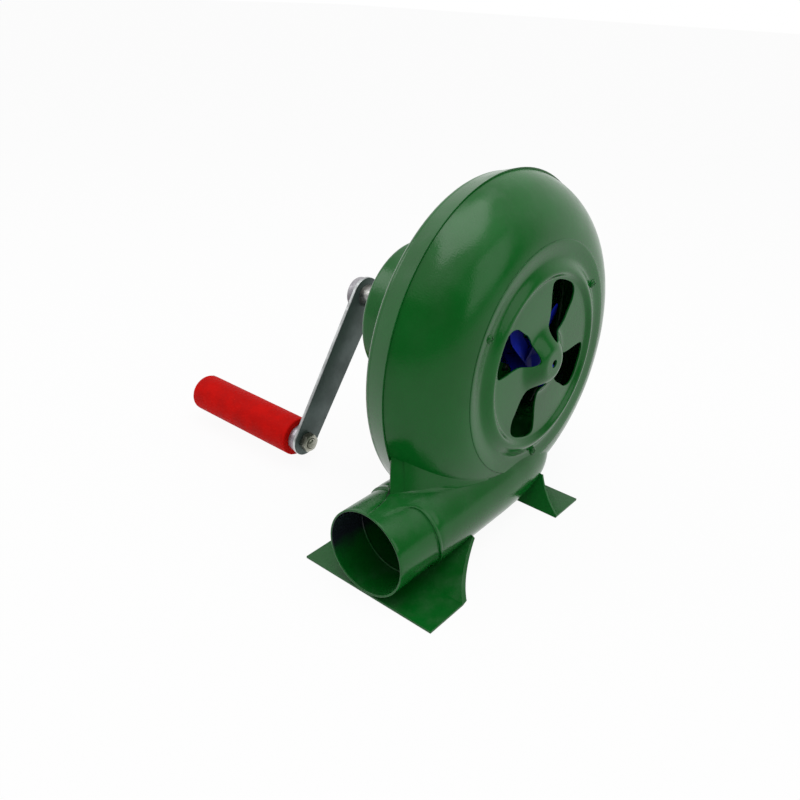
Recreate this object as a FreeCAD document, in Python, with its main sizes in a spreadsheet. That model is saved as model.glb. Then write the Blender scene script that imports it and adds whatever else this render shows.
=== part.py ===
"""Hand crank blower, millimetres, +Z up.

The origin is on the floor under the fan axis, in the plane of the outlet duct.
The outlet blows toward -X, the grille faces -Y, the gear drum and the crank are
on +Y, and the fan and crank axes both run along Y.
"""
import FreeCAD
import Part
import math
import os
import re

import Sketcher
from FreeCAD import Placement, Rotation, Vector

# Driving dimensions
SIZES = {
    # pressed housing
    "shell_wall": 1.2,
    "fit_gap": 0.05,
    "shell_radius": 123.4,
    "rim_gap": 0.6,
    "seam_depth": 10.1,
    "lap_width": 6.0,
    "back_depth": 30.0,
    "back_inset": 4.3,
    "back_round": 5.0,
    "ridge_radius": 82.8,
    "ridge_rise": 0.8,
    "shoulder_round": 47.3,
    # intake cover with its grille
    "valley_inset": 10.8,
    "valley_depth": 25.0,
    "bead_run": 9.8,
    "bead_rise": 4.3,
    "grille_run": 5.2,
    "grille_rise": 1.5,
    "dome_radius": 26.0,
    "dome_rise": 9.5,
    "dome_top_radius": 9.0,
    "eye_radius": 3.0,
    "cover_gap": 0.3,
    "cover_seat": 14.0,
    "ridge_run": 3.2,
    "slot_count": 4,
    "slot_margin": 1.5,
    "slot_tip": 13.5,
    "slot_tip_angle": 62.0,
    "slot_waist_angle": 47.0,
    "slot_belly_angle": 50.0,
    "slot_shoulder_angle": 61.0,
    "slot_crown_angle": 70.0,
    "slot_end_angle": 87.0,
    "slot_lead_angle": 88.5,
    "slot_corner": 1.5,
    "face_screw_count": 3,
    "face_screw_angle": 32.1,
    "face_screw_offset": 2.1,
    "face_screw_radius": 1.6,
    "screw_head_radius": 3.2,
    "screw_head_height": 1.9,
    "face_screw_length": 9.0,
    # outlet duct and sleeve
    "sleeve_radius": 30.0,
    "mouth_reach": 148.3,
    "collar_reach": 107.5,
    "collar_bead": 0.6,
    "collar_bead_width": 4.0,
    "collar_length": 12.5,
    "sleeve_insert": 9.0,
    "sleeve_step": 0.3,
    "floor_gap": 0.15,
    "duct_seam": 2.5,
    "duct_middle": 40.0,
    "duct_middle_shift": 3.0,
    "duct_middle_radius": 28.6,
    "duct_inset": 20.0,
    "duct_end_shift": 9.0,
    "duct_end_height": 27.0,
    "duct_end_radius": 19.0,
    "duct_blend": 10.0,
    # feet
    "foot_wall": 1.5,
    "front_foot_reach": 147.6,
    "front_bend": 114.9,
    "front_foot_width": 107.2,
    "front_web_run": 43.0,
    "front_web_rise": 16.5,
    "front_tip_width": 58.0,
    "rear_bend": 6.6,
    "rear_foot_reach": 37.7,
    "rear_foot_width": 97.8,
    "rear_web_run": 10.5,
    "rear_web_rise": 24.0,
    "rear_tip_width": 54.0,
    "web_edge_round": 62.0,
    # impeller
    "blade_count": 6,
    "blade_angle": 45.0,
    "blade_radius": 57.5,
    "blade_width": 26.0,
    "blade_wall": 1.6,
    "blade_front": 4.0,
    "hub_radius": 10.0,
    "impeller_disc": 30.0,
    "impeller_wall": 2.0,
    "fan_shaft_radius": 4.0,
    "fan_end_radius": 3.0,
    "fan_shaft_front": 12.0,
    "nut_height": 4.0,
    "nut_flat": 11.0,
    "washer_radius": 8.0,
    "washer_wall": 1.2,
    # fan bearings
    "plate_radius": 60.0,
    "plate_wall": 2.5,
    "block_radius": 12.0,
    "block_flange": 19.0,
    "rivet_radius": 1.5,
    "rivet_head": 2.5,
    "rivet_head_height": 1.2,
    "rivet_count": 3,
    "block_flange_wall": 3.5,
    "block_reach": 20.0,
    "block_length": 32.0,
    "bush_radius": 7.0,
    "bush_length": 8.0,
    "run_gap": 0.05,
    "step_gap": 0.4,
    # gear train
    "gear_module": 1.0,
    "wheel_teeth": 40,
    "pinion_teeth": 12,
    "pinion_shift": 0.3,
    "gear_backlash": 0.1,
    "wheel_width": 8.0,
    "pinion_extra": 2.0,
    "crank_rise": 4.0,
    "axle_radius": 3.0,
    "axle_shoulder": 5.5,
    "clip_wall": 1.0,
    "clip_radius": 5.5,
    # gear drum
    "drum_radius": 54.5,
    "drum_end": 93.0,
    "drum_wall": 1.2,
    "drum_round": 4.0,
    "drum_screw_count": 4,
    "drum_screw_radius": 1.5,
    "drum_screw_head": 2.4,
    "drum_nut_flat": 5.5,
    "drum_nut_height": 2.4,
    "boss_radius": 12.0,
    "boss_reach": 9.0,
    # crank
    "crank_shaft_radius": 6.0,
    "crank_bush_radius": 9.0,
    "arm_face": 137.0,
    "arm_wall": 3.0,
    "arm_length": 124.6,
    "arm_angle": 33.5,
    "arm_hub_radius": 14.5,
    "arm_tip_radius": 11.8,
    "crank_boss_radius": 13.0,
    "crank_boss_height": 7.0,
    "crank_sleeve_radius": 9.0,
    "crank_spacer_radius": 8.0,
    # handle
    "bolt_radius": 4.0,
    "handle_nut_flat": 13.0,
    "handle_nut_height": 6.0,
    "grip_collar_radius": 11.0,
    "grip_collar_height": 6.0,
    "grip_radius": 15.5,
    "grip_length": 116.0,
    "grip_round": 7.0,
    "grip_gap": 0.3,
    "grip_recess_radius": 8.0,
    "grip_recess_depth": 9.0,
    "bolt_head_radius": 6.5,
    "bolt_head_height": 5.0,
}

# Sizes that follow from the driving ones
RULES = {
    "duct_radius": "sleeve_radius - sleeve_step + fit_gap + shell_wall",
    "duct_height": "duct_radius + collar_bead + floor_gap",
    "fan_height": "shell_radius + rim_gap",
    "crank_height": "fan_height + crank_rise",
    "collar_back": "collar_reach - collar_length",
    "bead_bend": "(collar_bead_width * collar_bead_width / 4 + collar_bead * collar_bead)"
                 " / (2 * collar_bead)",
    "skirt_radius": "shell_radius - shell_wall - fit_gap",
    "back_radius": "shell_radius - back_inset",
    "skirt_slope": "back_inset / (back_depth - back_round - seam_depth)",
    "skirt_end": "skirt_radius - lap_width * skirt_slope",
    "valley_radius": "ridge_radius - valley_inset",
    "bead_radius": "valley_radius - bead_run",
    "grille_radius": "bead_radius - grille_run",
    "slot_outer": "grille_radius - slot_margin",
    "slot_waist": "0.62 * slot_outer",
    "slot_belly": "0.85 * slot_outer",
    "slot_lead": "0.43 * slot_outer",
    "face_screw_circle": "valley_radius + face_screw_offset",
    "ridge_depth": "valley_depth + ridge_rise",
    "bead_depth": "valley_depth + bead_rise",
    "grille_depth": "valley_depth + grille_rise",
    "dome_depth": "grille_depth + dome_rise",
    "jog_radius": "ridge_radius - ridge_run",
    "cover_radius": "jog_radius - cover_gap",
    "seat_depth": "valley_depth - shell_wall - fit_gap",
    "seat_radius": "ridge_radius - cover_seat",
    "plate_back": "back_depth + plate_wall",
    "block_front": "plate_back + block_flange_wall - block_length + block_reach",
    "block_end": "plate_back + block_flange_wall + block_reach",
    "gear_centres": "gear_module * (wheel_teeth + pinion_teeth) / 2",
    "lay_offset": "sqrt(gear_centres * gear_centres - crank_rise * crank_rise / 4)",
    "lay_height": "fan_height + crank_rise / 2",
    "fan_pinion_start": "block_end + 1.0",
    "lay_wheel_start": "fan_pinion_start + step_gap",
    "lay_pinion_start": "lay_wheel_start + wheel_width",
    "crank_wheel_start": "fan_pinion_start + wheel_width + pinion_extra + 4",
    "crank_wheel_end": "crank_wheel_start + wheel_width",
    "lay_pinion_end": "crank_wheel_end + 1",
    "crank_bush_start": "drum_end - drum_wall - boss_reach",
    "crank_bush_end": "drum_end + boss_reach",
    "drum_screw_circle": "(plate_radius + drum_radius) / 2",
    "rivet_circle": "(block_flange + block_radius) / 2",
    "handle_x": "-arm_length * sin(arm_angle)",
    "handle_height": "crank_height - arm_length * cos(arm_angle)",
    "arm_back": "arm_face + arm_wall",
    "collar_end": "arm_back + grip_collar_height",
    "grip_start": "collar_end + grip_gap",
    "grip_end": "grip_start + grip_length",
}

doc = FreeCAD.newDocument("HandCrankBlower")
sheet = doc.addObject("Spreadsheet::Sheet", "Sizes")
for row, (alias, number) in enumerate(SIZES.items(), start=1):
    sheet.set(f"A{row}", alias)
    sheet.set(f"B{row}", str(number))
    sheet.setAlias(f"B{row}", alias)
doc.recompute()

nodes = []


def bound(rule):
    """Spell a size rule out in cells of the sheet."""
    def spell(match):
        word = match.group(0)
        if word in RULES:
            return "(" + bound(RULES[word]) + ")"
        return "Sizes." + word if word in SIZES else word
    return re.sub(r"[a-z][a-z_]*[a-z]", spell, str(rule))


def value(rule):
    """Number that a size rule gives now."""
    return float(sheet.evalExpression(bound(rule)))


def keep(thing, label):
    """Name a finished sub-part and list it for export."""
    thing.Label = label
    nodes.append(thing)
    return thing


def place(thing, x=0, y=0, z=0):
    """Bind where a sub-part stands."""
    for axis, rule in (("x", x), ("y", y), ("z", z)):
        thing.setExpression(f"Placement.Base.{axis}", bound(rule))
    return thing


def new_body(label, x=0, y=0, z=0):
    body = doc.addObject("PartDesign::Body", label)
    return keep(place(body, x, y, z), label)


def origin_plane(body, role):
    return next(item for item in body.Origin.OriginFeatures if item.Role == role)


def new_sketch(body, name, plane="XY_Plane", lift=0, across=0, up=0):
    """Sketch on an origin plane of its own body, moved by bound offsets."""
    sketch = body.newObject("Sketcher::SketchObject", name)
    sketch.AttachmentSupport = [(origin_plane(body, plane), "")]
    sketch.MapMode = "FlatFace"
    for axis, rule in (("x", across), ("y", up), ("z", lift)):
        if rule:
            sketch.setExpression(f"AttachmentOffset.Base.{axis}", bound(rule))
    return sketch


def bent_edge(start, end, side, radius):
    """Minor arc between two points, and the numbers of its first and last vertex."""
    chord = end - start
    radius = max(radius, chord.Length / 2 * 1.0001)
    left = Vector(-chord.y, chord.x, 0).normalize()
    depth = math.sqrt(radius ** 2 - chord.Length ** 2 / 4)
    centre = (start + end) * 0.5 - left * depth * side
    first = math.atan2(start.y - centre.y, start.x - centre.x)
    last = math.atan2(end.y - centre.y, end.x - centre.x)
    circle = Part.Circle(centre, Vector(0, 0, 1), radius)
    if side > 0:
        return Part.ArcOfCircle(circle, last, first), 2, 1
    return Part.ArcOfCircle(circle, first, last), 1, 2


def outline(sketch, points):
    """Closed outline through bound points.

    A point is (x, y) for a straight edge to it, or (x, y, side, radius) for an
    arc to it that bulges to the left (side 1) or right (side -1) of the way there.
    """
    spots = [Vector(value(point[0]), value(point[1]), 0) for point in points]
    edges = []
    for here, point in enumerate(points):
        if len(point) == 2:
            line = Part.LineSegment(spots[here - 1], spots[here])
            edges.append((sketch.addGeometry(line, False), 1, 2))
            continue
        radius = value(point[3])
        arc, first, last = bent_edge(spots[here - 1], spots[here], point[2], radius)
        edge = sketch.addGeometry(arc, False)
        edges.append((edge, first, last))
        rule = sketch.addConstraint(Sketcher.Constraint("Radius", edge, radius))
        sketch.setExpression(f"Constraints[{rule}]", bound(point[3]))
    for here, (edge, _, last) in enumerate(edges):
        following, first, _ = edges[(here + 1) % len(edges)]
        sketch.addConstraint(Sketcher.Constraint("Coincident", edge, last, following, first))
        for kind, text, now in (("DistanceX", points[here][0], spots[here].x),
                                ("DistanceY", points[here][1], spots[here].y)):
            rule = sketch.addConstraint(Sketcher.Constraint(kind, -1, 1, edge, last, now))
            sketch.setExpression(f"Constraints[{rule}]", bound(text))
    return sketch


def ring(sketch, x, y, radius):
    """Circle with a bound centre and radius."""
    spot = Vector(value(x), value(y), 0)
    edge = sketch.addGeometry(Part.Circle(spot, Vector(0, 0, 1), value(radius)), False)
    for kind, text, now in (("DistanceX", x, spot.x), ("DistanceY", y, spot.y)):
        rule = sketch.addConstraint(Sketcher.Constraint(kind, -1, 1, edge, 3, now))
        sketch.setExpression(f"Constraints[{rule}]", bound(text))
    rule = sketch.addConstraint(Sketcher.Constraint("Radius", edge, value(radius)))
    sketch.setExpression(f"Constraints[{rule}]", bound(radius))
    return sketch


def spin(body, kind, sketch, axis="V_Axis"):
    """Turn a sketch all the way round one of its own axes."""
    feature = body.newObject(f"PartDesign::{kind}", sketch.Name + "_turn")
    feature.Profile = sketch
    feature.ReferenceAxis = (sketch, [axis])
    feature.Angle = 360
    return feature


def turned(label, points, x=0, z="fan_height"):
    """Piece turned about Y from an outline of (radius, y) points."""
    body = new_body(label, x, 0, z)
    spin(body, "Revolution", outline(new_sketch(body, label + "_outline"), points))
    return body


def turned_tube(label, inner, outer, start, end, x=0, z="fan_height"):
    """Plain tube or disc along Y."""
    corners = [(inner, start), (outer, start), (outer, end), (inner, end)]
    return turned(label, corners, x, z)


def cut_through(body, sketch, kind="Pocket"):
    """Pocket that runs through the whole body both ways from its sketch."""
    feature = body.newObject(f"PartDesign::{kind}", sketch.Name + "_cut")
    feature.Profile = sketch
    feature.Type = "ThroughAll"
    feature.SideType = "Symmetric"
    return feature


def cut_one_way(body, sketch, length, reverse):
    """Pocket of a bound length to one side of its sketch."""
    feature = body.newObject("PartDesign::Pocket", sketch.Name + "_cut")
    feature.Profile = sketch
    feature.Reversed = reverse
    feature.setExpression("Length", bound(length))
    return feature


def repeat_round(body, feature, count, angle=360):
    """Repeat a feature about the Y axis of its body."""
    pattern = body.newObject("PartDesign::PolarPattern", feature.Name + "_pattern")
    pattern.Originals = [feature]
    pattern.Axis = (origin_plane(body, "Y_Axis"), [""])
    pattern.Angle = angle
    pattern.setExpression("Occurrences", bound(count))
    body.Tip = pattern
    return pattern


def wave(start, end, thickness):
    """Radius and middle of the S between two level (radius, depth) stations."""
    run = f"(({end[0]}) - ({start[0]}))"
    rise = f"(({end[1]}) - ({start[1]}))"
    bend = f"(({run} * {run} + {rise} * {rise}) / (4 * abs({rise})))"
    turn = f"(2 * atan({rise} / {run}))"
    middle_radius = f"(({start[0]}) + ({end[0]})) / 2 + {thickness} * sin{turn}"
    middle_depth = f"(({start[1]}) + ({end[1]})) / 2 - {thickness} * cos{turn}"
    return bend, middle_radius, middle_depth


def pressed_way(stations, thickness=0):
    """Way along a pressed sheet through level (radius, depth) stations.

    Depth is measured toward -Y, and thickness moves the way to the back of the
    sheet. Stations of the same depth are joined by a straight edge and others by
    two arcs that form an S.
    """
    way = [(stations[0][0], f"-(({stations[0][1]}) - {thickness})")]
    for start, end in zip(stations, stations[1:]):
        finish = (end[0], f"-(({end[1]}) - {thickness})")
        if start[1] == end[1]:
            way.append(finish)
            continue
        bend, middle_radius, middle_depth = wave(start, end, thickness)
        rising = 1 if value(end[1]) > value(start[1]) else -1
        side = rising if value(end[0]) > value(start[0]) else -rising
        first, second = ("+", "-") if rising > 0 else ("-", "+")
        way.append((middle_radius, f"-({middle_depth})", side, f"{bend} {first} {thickness}"))
        way.append(finish + (-side, f"{bend} {second} {thickness}"))
    return way


def pressed_sheet(stations, wall):
    """Closed outline of a sheet of one thickness through level stations."""
    front = pressed_way(stations)
    back = pressed_way(stations[::-1], wall)
    return front + back


def envelope(grow, rim):
    """Outline of the round housing, grown by a rule, with a given rim radius."""
    return [
        (0, f"-(ridge_depth + {grow})"),
        ("ridge_radius", f"-(ridge_depth + {grow})"),
        (rim, "seam_depth", -1, f"shoulder_round + {grow}"),
        (f"back_radius + {grow}", "back_depth - back_round"),
        ("back_radius - back_round", f"back_depth + {grow}", -1, f"back_round + {grow}"),
        (0, f"back_depth + {grow}"),
    ]


def round_spots(circle, count, first, height=0, x=0):
    """Rules for (x, z) spots spaced evenly on a circle about a Y axis."""
    turns = [f"({first}) + {360 * step / count}" for step in range(count)]
    return [(f"{x} + {circle} * cos({turn})", f"{height} + {circle} * sin({turn})")
            for turn in turns]


def drill(body, name, spots, radius):
    """Round holes along Y through the whole body."""
    sketch = new_sketch(body, name, "XZ_Plane")
    for x, z in spots:
        ring(sketch, x, z, radius)
    return cut_through(body, sketch)


def duct_stations():
    """Centre and outer radius of the duct, from its collar into the round housing."""
    return [
        ("-collar_back", 0, "duct_height", "duct_radius"),
        ("-duct_middle", "duct_middle_shift", "duct_height - duct_radius + duct_middle_radius",
         "duct_middle_radius"),
        ("duct_inset", "duct_end_shift", "duct_end_height", "duct_end_radius"),
    ]


def duct_loft(body, kind, name, grow, base):
    """Loft through the duct stations, grown by a rule, in a body that stands at base."""
    sections = []
    for number, (x, y, z, radius) in enumerate(duct_stations()):
        sketch = new_sketch(body, f"{name}_{number}", "YZ_Plane", lift=x)
        sections.append(ring(sketch, y, f"{z} - ({base})", f"{radius} + {grow}"))
    loft = body.newObject(f"PartDesign::{kind}Loft", name)
    loft.Profile = sections[0]
    loft.Sections = sections[1:]
    loft.Ruled = True
    return loft


def collar_outline(body, name, base, points):
    """Sketch turned about the duct axis, from (x, radius) points."""
    sketch = new_sketch(body, name, "XZ_Plane", up=f"duct_height - ({base})")
    return outline(sketch, points)


def slab(body, name, depth, near_side):
    """Cut away all that lies on one side of a plane square to Y."""
    sketch = new_sketch(body, name, "XZ_Plane", lift=f"-({depth})")
    far = "3 * mouth_reach"
    outline(sketch, [(f"-{far}", f"-{far}"), (far, f"-{far}"), (far, far), (f"-{far}", far)])
    return cut_one_way(body, sketch, far, near_side)


def add_duct(body, name):
    """The whole duct with its beaded collar, filled."""
    bead = [
        ("-collar_back", 0),
        ("-collar_back", "duct_radius"),
        ("collar_bead_width - collar_reach", "duct_radius"),
        ("-collar_reach", "duct_radius", -1, "bead_bend"),
        ("-collar_reach", 0),
    ]
    spin(body, "Revolution", collar_outline(body, name + "_collar", "fan_height", bead), "H_Axis")
    duct_loft(body, "Additive", name + "_duct", "0", "fan_height")


def open_duct(body, name):
    """Cut the way of the air through the collar, the duct and the housing wall."""
    duct_loft(body, "Subtractive", name + "_airway", "(-shell_wall)", "fan_height")
    bore = "duct_radius - shell_wall"
    ends = [("-collar_back", 0), ("-collar_back", bore),
            ("-collar_reach - collar_bead_width", bore), ("-collar_reach - collar_bead_width", 0)]
    spin(body, "Groove", collar_outline(body, name + "_bore", "fan_height", ends), "H_Axis")


def duct_section(x):
    """Centre height, centre depth and radius of the duct's outside at one x."""
    rows = [[value(rule) for rule in station] for station in duct_stations()]
    for (x0, y0, z0, r0), (x1, y1, z1, r1) in zip(rows, rows[1:]):
        if x <= x1:
            break
    share = (x - x0) / (x1 - x0)
    return y0 + share * (y1 - y0), z0 + share * (z1 - z0), r0 + share * (r1 - r0)


def shoulder_circle():
    """Centre (radius, y) and radius of the arc that the shoulder is turned from."""
    inner = Vector(value("ridge_radius"), -value("ridge_depth"), 0)
    outer = Vector(value("skirt_radius"), value("seam_depth"), 0)
    arc, _, _ = bent_edge(inner, outer, -1, value("shoulder_round"))
    return arc.Center.x, arc.Center.y, arc.Radius


def crease_edges(shape):
    """Names of the edges where the outside of the duct meets the outside of the shoulder."""
    centre_radius, centre_depth, bend = shoulder_circle()
    axis_height = value("fan_height")
    names = []
    for number, edge in enumerate(shape.Edges, start=1):
        first, last = edge.ParameterRange
        spots = [edge.valueAt(first + (last - first) * share) for share in (0.1, 0.5, 0.9)]
        gaps = []
        for spot in spots:
            middle_y, middle_z, radius = duct_section(spot.x)
            height = spot.z + axis_height - middle_z
            gaps.append(math.hypot(spot.y - middle_y, height) - radius)
            reach = math.hypot(spot.x, spot.z)
            gaps.append(math.hypot(reach - centre_radius, spot.y - centre_depth) - bend)
        if all(abs(gap) < 0.02 for gap in gaps):
            names.append(f"Edge{number}")
    return names


def blend_crease(body, name):
    """Fillet along the crease between the duct and the shoulder."""
    doc.recompute()
    base = body.Tip
    fillet = body.newObject("PartDesign::Fillet", name)
    fillet.Base = (base, crease_edges(base.Shape))
    fillet.setExpression("Radius", bound("duct_blend"))
    return fillet


def make_intake_shell():
    """Front half of the housing: a seat for the cover, the shoulder and the lapped skirt."""
    body = new_body("intake_shell", z="fan_height")
    add_duct(body, "front")
    hollow = outline(new_sketch(body, "front_hollow"),
                     envelope("(-shell_wall / 2)", "skirt_radius - shell_wall / 2"))
    spin(body, "Groove", hollow)
    slab(body, "front_split", "duct_seam", False)
    face = [("seat_radius", "seat_depth"), ("jog_radius", "seat_depth"),
            ("ridge_radius", "ridge_depth")]
    back = pressed_way(face[::-1], "shell_wall")
    rim = [
        ("skirt_radius", "seam_depth", -1, "shoulder_round"),
        ("skirt_end", "seam_depth + lap_width"),
        ("skirt_end - shell_wall", "seam_depth + lap_width"),
        ("skirt_radius - shell_wall", "seam_depth"),
        back[0] + (1, "shoulder_round - shell_wall"),
    ]
    wall = outline(new_sketch(body, "front_wall"), pressed_way(face) + rim + back[1:])
    spin(body, "Revolution", wall)
    open_duct(body, "front")
    drill(body, "front_screw_holes", face_screw_spots(), "face_screw_radius + fit_gap")
    blend_crease(body, "front_blend")
    return body


def face_screw_spots():
    return round_spots("face_screw_circle", SIZES["face_screw_count"], "face_screw_angle")


def make_gear_side_shell():
    """Back half of the housing: the flat back and the rim that laps over the front half."""
    body = new_body("gear_side_shell", z="fan_height")
    add_duct(body, "rear")
    drum_side = outline(new_sketch(body, "rear_outside"), [
        (0, "seam_depth"),
        ("shell_radius", "seam_depth"),
        ("back_radius", "back_depth - back_round"),
        ("back_radius - back_round", "back_depth", -1, "back_round"),
        (0, "back_depth"),
    ])
    spin(body, "Revolution", drum_side)
    hollow = outline(new_sketch(body, "rear_hollow"), [
        (0, "-ridge_depth"),
        ("ridge_radius", "-ridge_depth"),
        ("shell_radius - shell_wall", "seam_depth", -1, "shoulder_round"),
        ("back_radius - shell_wall", "back_depth - back_round"),
        ("back_radius - back_round", "back_depth - shell_wall", -1, "back_round - shell_wall"),
        (0, "back_depth - shell_wall"),
    ])
    spin(body, "Groove", hollow)
    slab(body, "rear_split", "duct_seam", True)
    open_duct(body, "rear")
    drill(body, "rear_block_hole", [(0, 0)], "block_radius + fit_gap")
    drill(body, "rear_drum_holes", drum_screw_spots("crank_rise"), "drum_screw_radius + fit_gap")
    drill(body, "rear_rivet_holes", rivet_spots(), "rivet_radius + fit_gap")
    return body


def drum_screw_spots(height, x=0):
    return round_spots("drum_screw_circle", SIZES["drum_screw_count"], 45, height, x)


def rivet_spots(height=0):
    return round_spots("rivet_circle", SIZES["rivet_count"], 90, height)


def slot_outline(sketch):
    """One swirl slot of the grille: a comma with a straight leading edge and a full belly."""
    def at(radius, angle):
        return f"{radius} * cos({angle})", f"{radius} * sin({angle})"

    outline(sketch, [
        at("slot_tip", "slot_tip_angle"),
        at("slot_waist", "slot_waist_angle") + (1, "1.35 * slot_outer"),
        at("slot_belly", "slot_belly_angle") + (-1, "0.66 * slot_outer"),
        at("slot_outer", "slot_shoulder_angle") + (-1, "0.22 * slot_outer"),
        at("slot_outer", "slot_crown_angle") + (-1, "0.45 * slot_outer"),
        at("slot_outer", "slot_end_angle") + (-1, "slot_outer"),
        at("(slot_outer - slot_corner)", "slot_lead_angle") + (-1, "slot_corner"),
        at("slot_lead", "slot_lead_angle"),
        at("slot_tip", "slot_tip_angle") + (-1, "0.45 * slot_outer"),
    ][1:])


def make_intake_cover():
    """Pressed cover with a centre dome, four swirl slots and a rolled bead round them."""
    body = new_body("intake_cover", z="fan_height")
    stations = [("eye_radius", "dome_depth"), ("dome_top_radius", "dome_depth"),
                ("dome_radius", "grille_depth"), ("grille_radius", "grille_depth"),
                ("bead_radius", "bead_depth"), ("valley_radius", "valley_depth"),
                ("cover_radius", "valley_depth")]
    spin(body, "Revolution",
         outline(new_sketch(body, "cover_wall"), pressed_sheet(stations, "shell_wall")))
    sketch = new_sketch(body, "swirl_slot", "XZ_Plane")
    slot_outline(sketch)
    repeat_round(body, cut_through(body, sketch), "slot_count")
    drill(body, "cover_screw_holes", face_screw_spots(), "face_screw_radius + fit_gap")
    return body


def make_outlet_sleeve():
    """Plain sleeve that is held in the collar and makes the mouth."""
    body = new_body("outlet_sleeve", z="duct_height")
    end = "sleeve_insert - collar_reach"
    inner = "sleeve_radius - sleeve_step - shell_wall"
    points = [
        ("-mouth_reach", inner),
        ("-mouth_reach", "sleeve_radius"),
        ("-collar_reach", "sleeve_radius"),
        ("-collar_reach", "sleeve_radius - sleeve_step"),
        (end, "sleeve_radius - sleeve_step"),
        (end, inner),
    ]
    spin(body, "Revolution", outline(new_sketch(body, "sleeve_wall"), points), "H_Axis")
    return body


def make_foot(label, bend, reach, width, run, rise, tip_width):
    """Bent plate: a flat sole and a web whose sides are hollowed to narrow tips.

    Bend and reach are rules for x, and the web climbs by run and rise from the bend.
    """
    body = new_body(label)
    lean = f"sqrt(({run}) * ({run}) + ({rise}) * ({rise}))"
    side_x = f"foot_wall * ({rise}) / {lean}"
    side_z = f"foot_wall * ({run}) / {lean}"
    facing = 1 if value(reach) < value(bend) else -1
    knee = f"foot_wall * ({rise}) / ({lean} + {facing} * ({run}))"
    profile = outline(new_sketch(body, label + "_bend", "XZ_Plane"), [
        (reach, 0),
        (bend, 0),
        (f"{bend} + {run}", rise),
        (f"{bend} + {run} - {facing} * {side_x}", f"{rise} + {facing} * {side_z}"),
        (f"{bend} - {facing} * {knee}", "foot_wall"),
        (reach, "foot_wall"),
    ])
    sheet_pad = body.newObject("PartDesign::Pad", label + "_sheet")
    sheet_pad.Profile = profile
    sheet_pad.SideType = "Symmetric"
    sheet_pad.setExpression("Length", bound(width))
    for side in (-1, 1):
        edge = new_sketch(body, f"{label}_edge_{(side + 3) // 2}", "YZ_Plane")
        outline(edge, [
            (f"{side} * {width} / 2", "foot_wall"),
            (f"{side} * {tip_width} / 2", f"{rise} + foot_wall", side, "web_edge_round"),
            (f"{side} * {width}", f"{rise} + foot_wall"),
            (f"{side} * {width}", "foot_wall"),
        ])
        cut_through(body, edge)
    return body


def make_front_foot():
    """Foot under the sleeve; its web leans back and straddles the duct."""
    body = make_foot("front_foot", "-front_bend", "-front_foot_reach", "front_foot_width",
                     "front_web_run", "front_web_rise", "front_tip_width")
    duct_loft(body, "Subtractive", "front_foot_seat", "fit_gap", "0")
    clear = "duct_radius + collar_bead + fit_gap"
    start = "0.1 - front_bend"
    ends = [("-collar_back", 0), ("-collar_back", clear), (start, clear), (start, 0)]
    spin(body, "Groove", collar_outline(body, "front_foot_collar", "0", ends), "H_Axis")
    return body


def make_rear_foot():
    """Foot behind; its web stands nearly upright and straddles the round housing."""
    body = make_foot("rear_foot", "rear_bend", "rear_foot_reach", "rear_foot_width",
                     "rear_web_run", "rear_web_rise", "rear_tip_width")
    sketch = new_sketch(body, "rear_foot_seat", up=0, lift="fan_height")
    outline(sketch, envelope("fit_gap", "shell_radius + fit_gap"))
    spin(body, "Groove", sketch)
    duct_loft(body, "Subtractive", "rear_foot_duct", "fit_gap", "0")
    return body


def dome_bend(radius, height):
    """Radius of a dome of a given foot radius and height."""
    return f"(({radius}) * ({radius}) + ({height}) * ({height})) / (2 * ({height}))"


def make_screw(label, head, head_height, shank, start, end, x, z, head_first):
    """Round-headed screw along Y, its head before the start or past the end."""
    bend = dome_bend(head, head_height)
    if head_first:
        rows = [(0, f"{start} - {head_height}"), (head, start, -1, bend),
                (shank, start), (shank, end), (0, end)]
    else:
        rows = [(0, start), (shank, start), (shank, end), (head, end),
                (0, f"{end} + {head_height}", -1, bend)]
    return turned(label, rows, x, z)


def make_face_screws():
    for number, (x, z) in enumerate(face_screw_spots(), start=1):
        front = "-valley_depth"
        make_screw(f"face_screw_{number}", "screw_head_radius", "screw_head_height",
                   "face_screw_radius", front, f"{front} + face_screw_length",
                   x, f"fan_height + {z}", True)


def make_nut(label, flat, height, hole, start, x=0, z="fan_height"):
    """Hexagon nut along Y."""
    body = new_body(label, x, 0, z)
    across = f"{flat} / cos(30) / 2"
    corners = [(f"{across} * cos({60 * step})", f"{across} * sin({60 * step})")
               for step in range(6)]
    sketch = outline(new_sketch(body, label + "_hexagon", "XZ_Plane", lift=f"-({start})"), corners)
    ring(sketch, 0, 0, hole)
    pad_back(body, sketch, height)
    return body


def pad_back(body, sketch, length):
    """Pad a sketch on the XZ plane toward +Y."""
    pad = body.newObject("PartDesign::Pad", sketch.Name + "_pad")
    pad.Profile = sketch
    pad.Reversed = True
    pad.setExpression("Length", bound(length))
    return pad


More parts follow.
